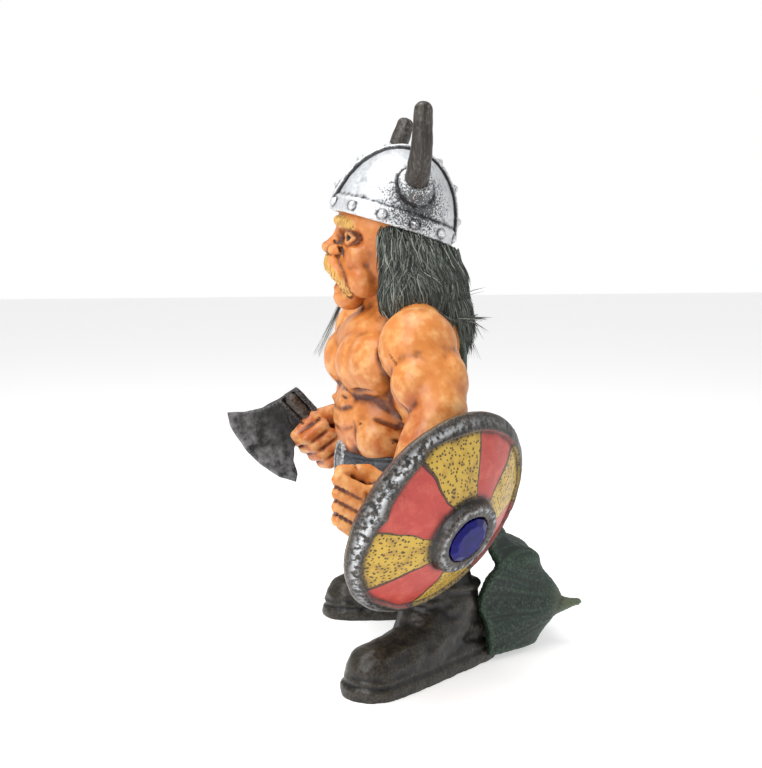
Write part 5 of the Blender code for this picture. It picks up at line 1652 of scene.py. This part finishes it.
fur_paint, tree, shader, vector = start_material("grey fur", 0.55)
fur_ramp = add_node(tree, "ShaderNodeValToRGB", {"Fac": mask(tree, "shade")}).outputs["Color"]
ramp = fur_ramp.node.color_ramp
ramp.elements[0].color, ramp.elements[1].color = seen(30, 33, 30), seen(212, 215, 206)
for position, colour in ((0.3, seen(66, 72, 66)), (0.6, seen(112, 118, 110)), (0.8, seen(160, 165, 155))):
    ramp.elements.new(position).color = colour
dusty = mix_colour(tree, specks(tree, vector, 6.0, 0.5, 0.4), fur_ramp, seen(70, 72, 64), "MULTIPLY")
tree.links.new(mix_colour(tree, 0.35, fur_ramp, dusty), shader.inputs["Base Color"])
under_paint, tree, shader, vector = start_material("fur base", 0.8)
under = streaks(tree, vector, (1500, 1500, 160), 0.5, 0.3)
tree.links.new(mix_colour(tree, under, seen(34, 36, 33), seen(74, 77, 70)), shader.inputs["Base Color"])
bump(tree, shader, under, 0.3, 1.0)
settled(wig, "wig_base", under_paint, ["wig"])
for k, wild in enumerate((0.1, 0.5, 1.5)):
    layer = hair_layer(f"wig_hair_{k + 1}", wild)
    settled(layer, f"wig_hair_{k + 1}", fur_paint)
base_mesh.free()

# %% [markdown]
# A few long hairs stand away from the mass: wisps at the nape, and one thin lock that hangs down in
# front of the far shoulder. Each is a run of places of its own, repeated with small seeded changes.

# %% Wisps
WISPS = (
    (((-14.5, -12.0, 127.0), (-16.0, -17.3, 120.3), (-17.5, -21.6, 110.3), (-19.0, -26.0, 100.6)), 14, 0.7),
    (((12, 14.0, 122.0), (12, 19.5, 123.0), (12, 23.0, 124.0), (12, 26.6, 124.6)), 3, 1.2),
    (((14, 15.0, 118.0), (14, 19.5, 114.5), (14, 22.4, 111.0), (14, 23.9, 107.6)), 7, 1.6),
    (((8, 19.0, 114.0), (8, 21.5, 110.0), (8, 23.0, 106.0), (7, 24.0, 101.0)), 9, 2.2),
    (((-10, 19.0, 114.0), (-10, 21.5, 110.0), (-11, 23.0, 106.0), (-11, 24.0, 101.0)), 8, 2.4),
    (((22, 4.0, 122.0), (24, 6.0, 118.0), (25, 8.0, 115.0), (25, 10.5, 112.5)), 8, 1.6),
)
WISP_STEPS = 15
wisp_runs = []
for run, repeats, spread in WISPS:
    for _ in range(repeats):
        ends = [hair_chance.gauss(0, spread) for _ in range(6)]
        wisp_run = []
        for step in range(WISP_STEPS + 1):
            share = step / WISP_STEPS * (len(run) - 1)
            k = min(int(share), len(run) - 2)
            place = spot(*run[k]).lerp(spot(*run[k + 1]), share - k)
            grow = step / WISP_STEPS
            sway = [(ends[i] * 0.35 * (1 - grow) + ends[i + 3] * grow) * MM for i in range(3)]
            wisp_run.append(place + Vector(sway))
        wisp_runs.append(wisp_run)
wisp_taper = [1.05 - 0.85 * (step / WISP_STEPS) for step in range(WISP_STEPS + 1)]
wisps = strands("wisps", wisp_runs, wisp_taper, 1, lambda: hair_chance.uniform(0.25, 0.75))
settled(wisps, "wig_wisps", fur_paint)

# %% [markdown]
# ## Axe
# The blade is a wedge, thick at the eye and thin at its curved edge, with a hole for the haft. A
# shallow line is carved on each of its faces. Black iron paint is dry-brushed with grey toward the
# edge, and the haft gets a fine turned grain.

# %% Axe shape
AXE_THICKNESS, AXE_EDGE, HAFT_RADIUS, HAFT_LENGTH = 6.4, 0.9, 2.4 * MM, 60 * MM
axe_upper = [(-36.0, 82.4), (-43.0, 78.9), (-49.7, 77.6)]
axe_edge = [(-56.4, 77.8), (-55.4, 73.0), (-52.9, 68.0), (-48.8, 62.3)]
axe_edge += [(-43.2, 56.4), (-36.7, 52.0), (-30.6, 50.0)]
axe_lower = [(-30.0, 53.1), (-31.6, 58.5), (-31.2, 63.5), (-28.0, 69.5)]
axe_outline = [(-22.7, 78.7), (-29.9, 86.5)] + axe_upper + axe_edge + axe_lower + [(-24.3, 75.6)]
haft_run = RIGHT_FIST - HAFT_TOP
haft_way = (haft_run.normalized() + Vector((-0.09, 0, 0))).normalized()
haft_top = RIGHT_FIST - haft_way * haft_run.length
blade_way = Vector((0, haft_run.normalized().z, -haft_run.normalized().y))
poll = spot(-41, -26.3, 82.6)

blade = bmesh.new()
near = [blade.verts.new(spot(-41, y, z)) for y, z in axe_outline]
near_face = blade.faces.new(near)
far = bmesh.ops.extrude_face_region(blade, geom=[near_face])
far_verts = [v for v in far["geom"] if isinstance(v, bmesh.types.BMVert)]
blade_length = max((v.co - poll).dot(blade_way) for v in near)
for verts, sign in ((near, -1), (far_verts, 1)):
    for vert in verts:
        share = max(0.0, (vert.co - poll).dot(blade_way)) / blade_length
        vert.co.x += sign * (AXE_THICKNESS + (AXE_EDGE - AXE_THICKNESS) * share) / 2 * MM
bmesh.ops.recalc_face_normals(blade, faces=blade.faces)
axe_head = object_from(blade, "axe_head_finish")
eye_shape = bmesh.new()
eye_ends = (haft_top - haft_way * 5 * MM, haft_top + haft_way * 30 * MM)
tube(eye_shape, [(end, HAFT_RADIUS + 0.3 * MM, haft_way) for end in eye_ends], 40)
cut_out(axe_head, eye_shape)
smeared(axe_head, 0.38 * MM, 3)
near_line = [(-37.6, -35.5, 81.0), (-38.4, -33.2, 73.5), (-38.0, -30.2, 69.5)]
far_line = [(-44.4, y, z) for _, y, z in near_line]
carve(axe_head, [(near_line, 0.8, 0.4), (far_line, 0.8, 0.4)])
roughen(axe_head, 4.0, 0.3)
roughen(axe_head, 1.3, 0.05)
relief_masks(axe_head, ((4, 0.09), (24, 0.35), (70, 0.8)))
toward_edge = (points_of(axe_head.data) - np.array(poll)) @ np.array(blade_way) / blade_length
keep(axe_head, "edge", np.clip(toward_edge * 1.8 - 0.8, 0, 1))

# %% Axe paint
iron_paint, tree, shader, vector = start_material("black iron paint", 0.5)
shader.inputs["Metallic"].default_value = 0.05
swept = streaks(tree, vector, (900, 340, 340), 0.5, 0.3)
colour = mix_colour(tree, swept, seen(12, 12, 13), seen(32, 32, 34))
rust = specks(tree, vector, 8.0, 0.42, 0.12)
colour = mix_colour(tree, times(tree, rust, 0.5), colour, seen(72, 56, 40))
edge_brush = times(tree, mask(tree, "edge"), specks(tree, vector, 4.0, 0.62, 0.45), clamp=True)
colour = mix_colour(tree, edge_brush, colour, seen(176, 176, 178))
# Painted shade in the hollows and painted highlight in grey on the ridges.
colour = shade_and_highlight(tree, vector, colour, seen(8, 8, 8), seen(150, 150, 150), 0.8, 0.45, 0.8)
tree.links.new(colour, shader.inputs["Base Color"])
bump(tree, shader, specks(tree, vector, 0.6, 0.7, 0.5), 0.08, 0.7)
settled(axe_head, "axe_head_finish", iron_paint, ["axe_head"])

haft_shape = bmesh.new()
HAFT_STEPS = 90
haft_rings = []
for step in range(HAFT_STEPS + 1):
    share = step / HAFT_STEPS
    pinch = min(1.0, (0.55 + 20 * min(share, 1 - share)))
    radius = (HAFT_RADIUS - 0.05 * MM) * pinch
    haft_rings.append((haft_top + haft_way * HAFT_LENGTH * share, radius, haft_way))
tube(haft_shape, haft_rings, 28)
haft = object_from(haft_shape, "axe_haft")
roughen(haft, 1.4, 0.22, (1, 0.5, 0.5))
relief_masks(haft, ((3, 0.05), (12, 0.15)))
# The third tone is painted shade for the hollows, the fourth painted highlight for the ridges.
haft_tones = seen(40, 34, 30), seen(28, 25, 24), seen(8, 7, 6), seen(110, 100, 86)
haft_paint = painted("painted haft", *haft_tones, 0.5, highlight_strength=0.7)
settled(haft, "axe_haft", haft_paint, ["axe_handle"])

# %% [markdown]
# ## Finish
# The last cell prints the sizes of the dressed box and of the imported one, side by side.

# %% Sizes
dressed_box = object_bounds()
for which, low, high in (("packed", *cad_box), ("dressed", *dressed_box)):
    print(which, "mm", [round((b - a) / MM, 1) for a, b in zip(low, high)])
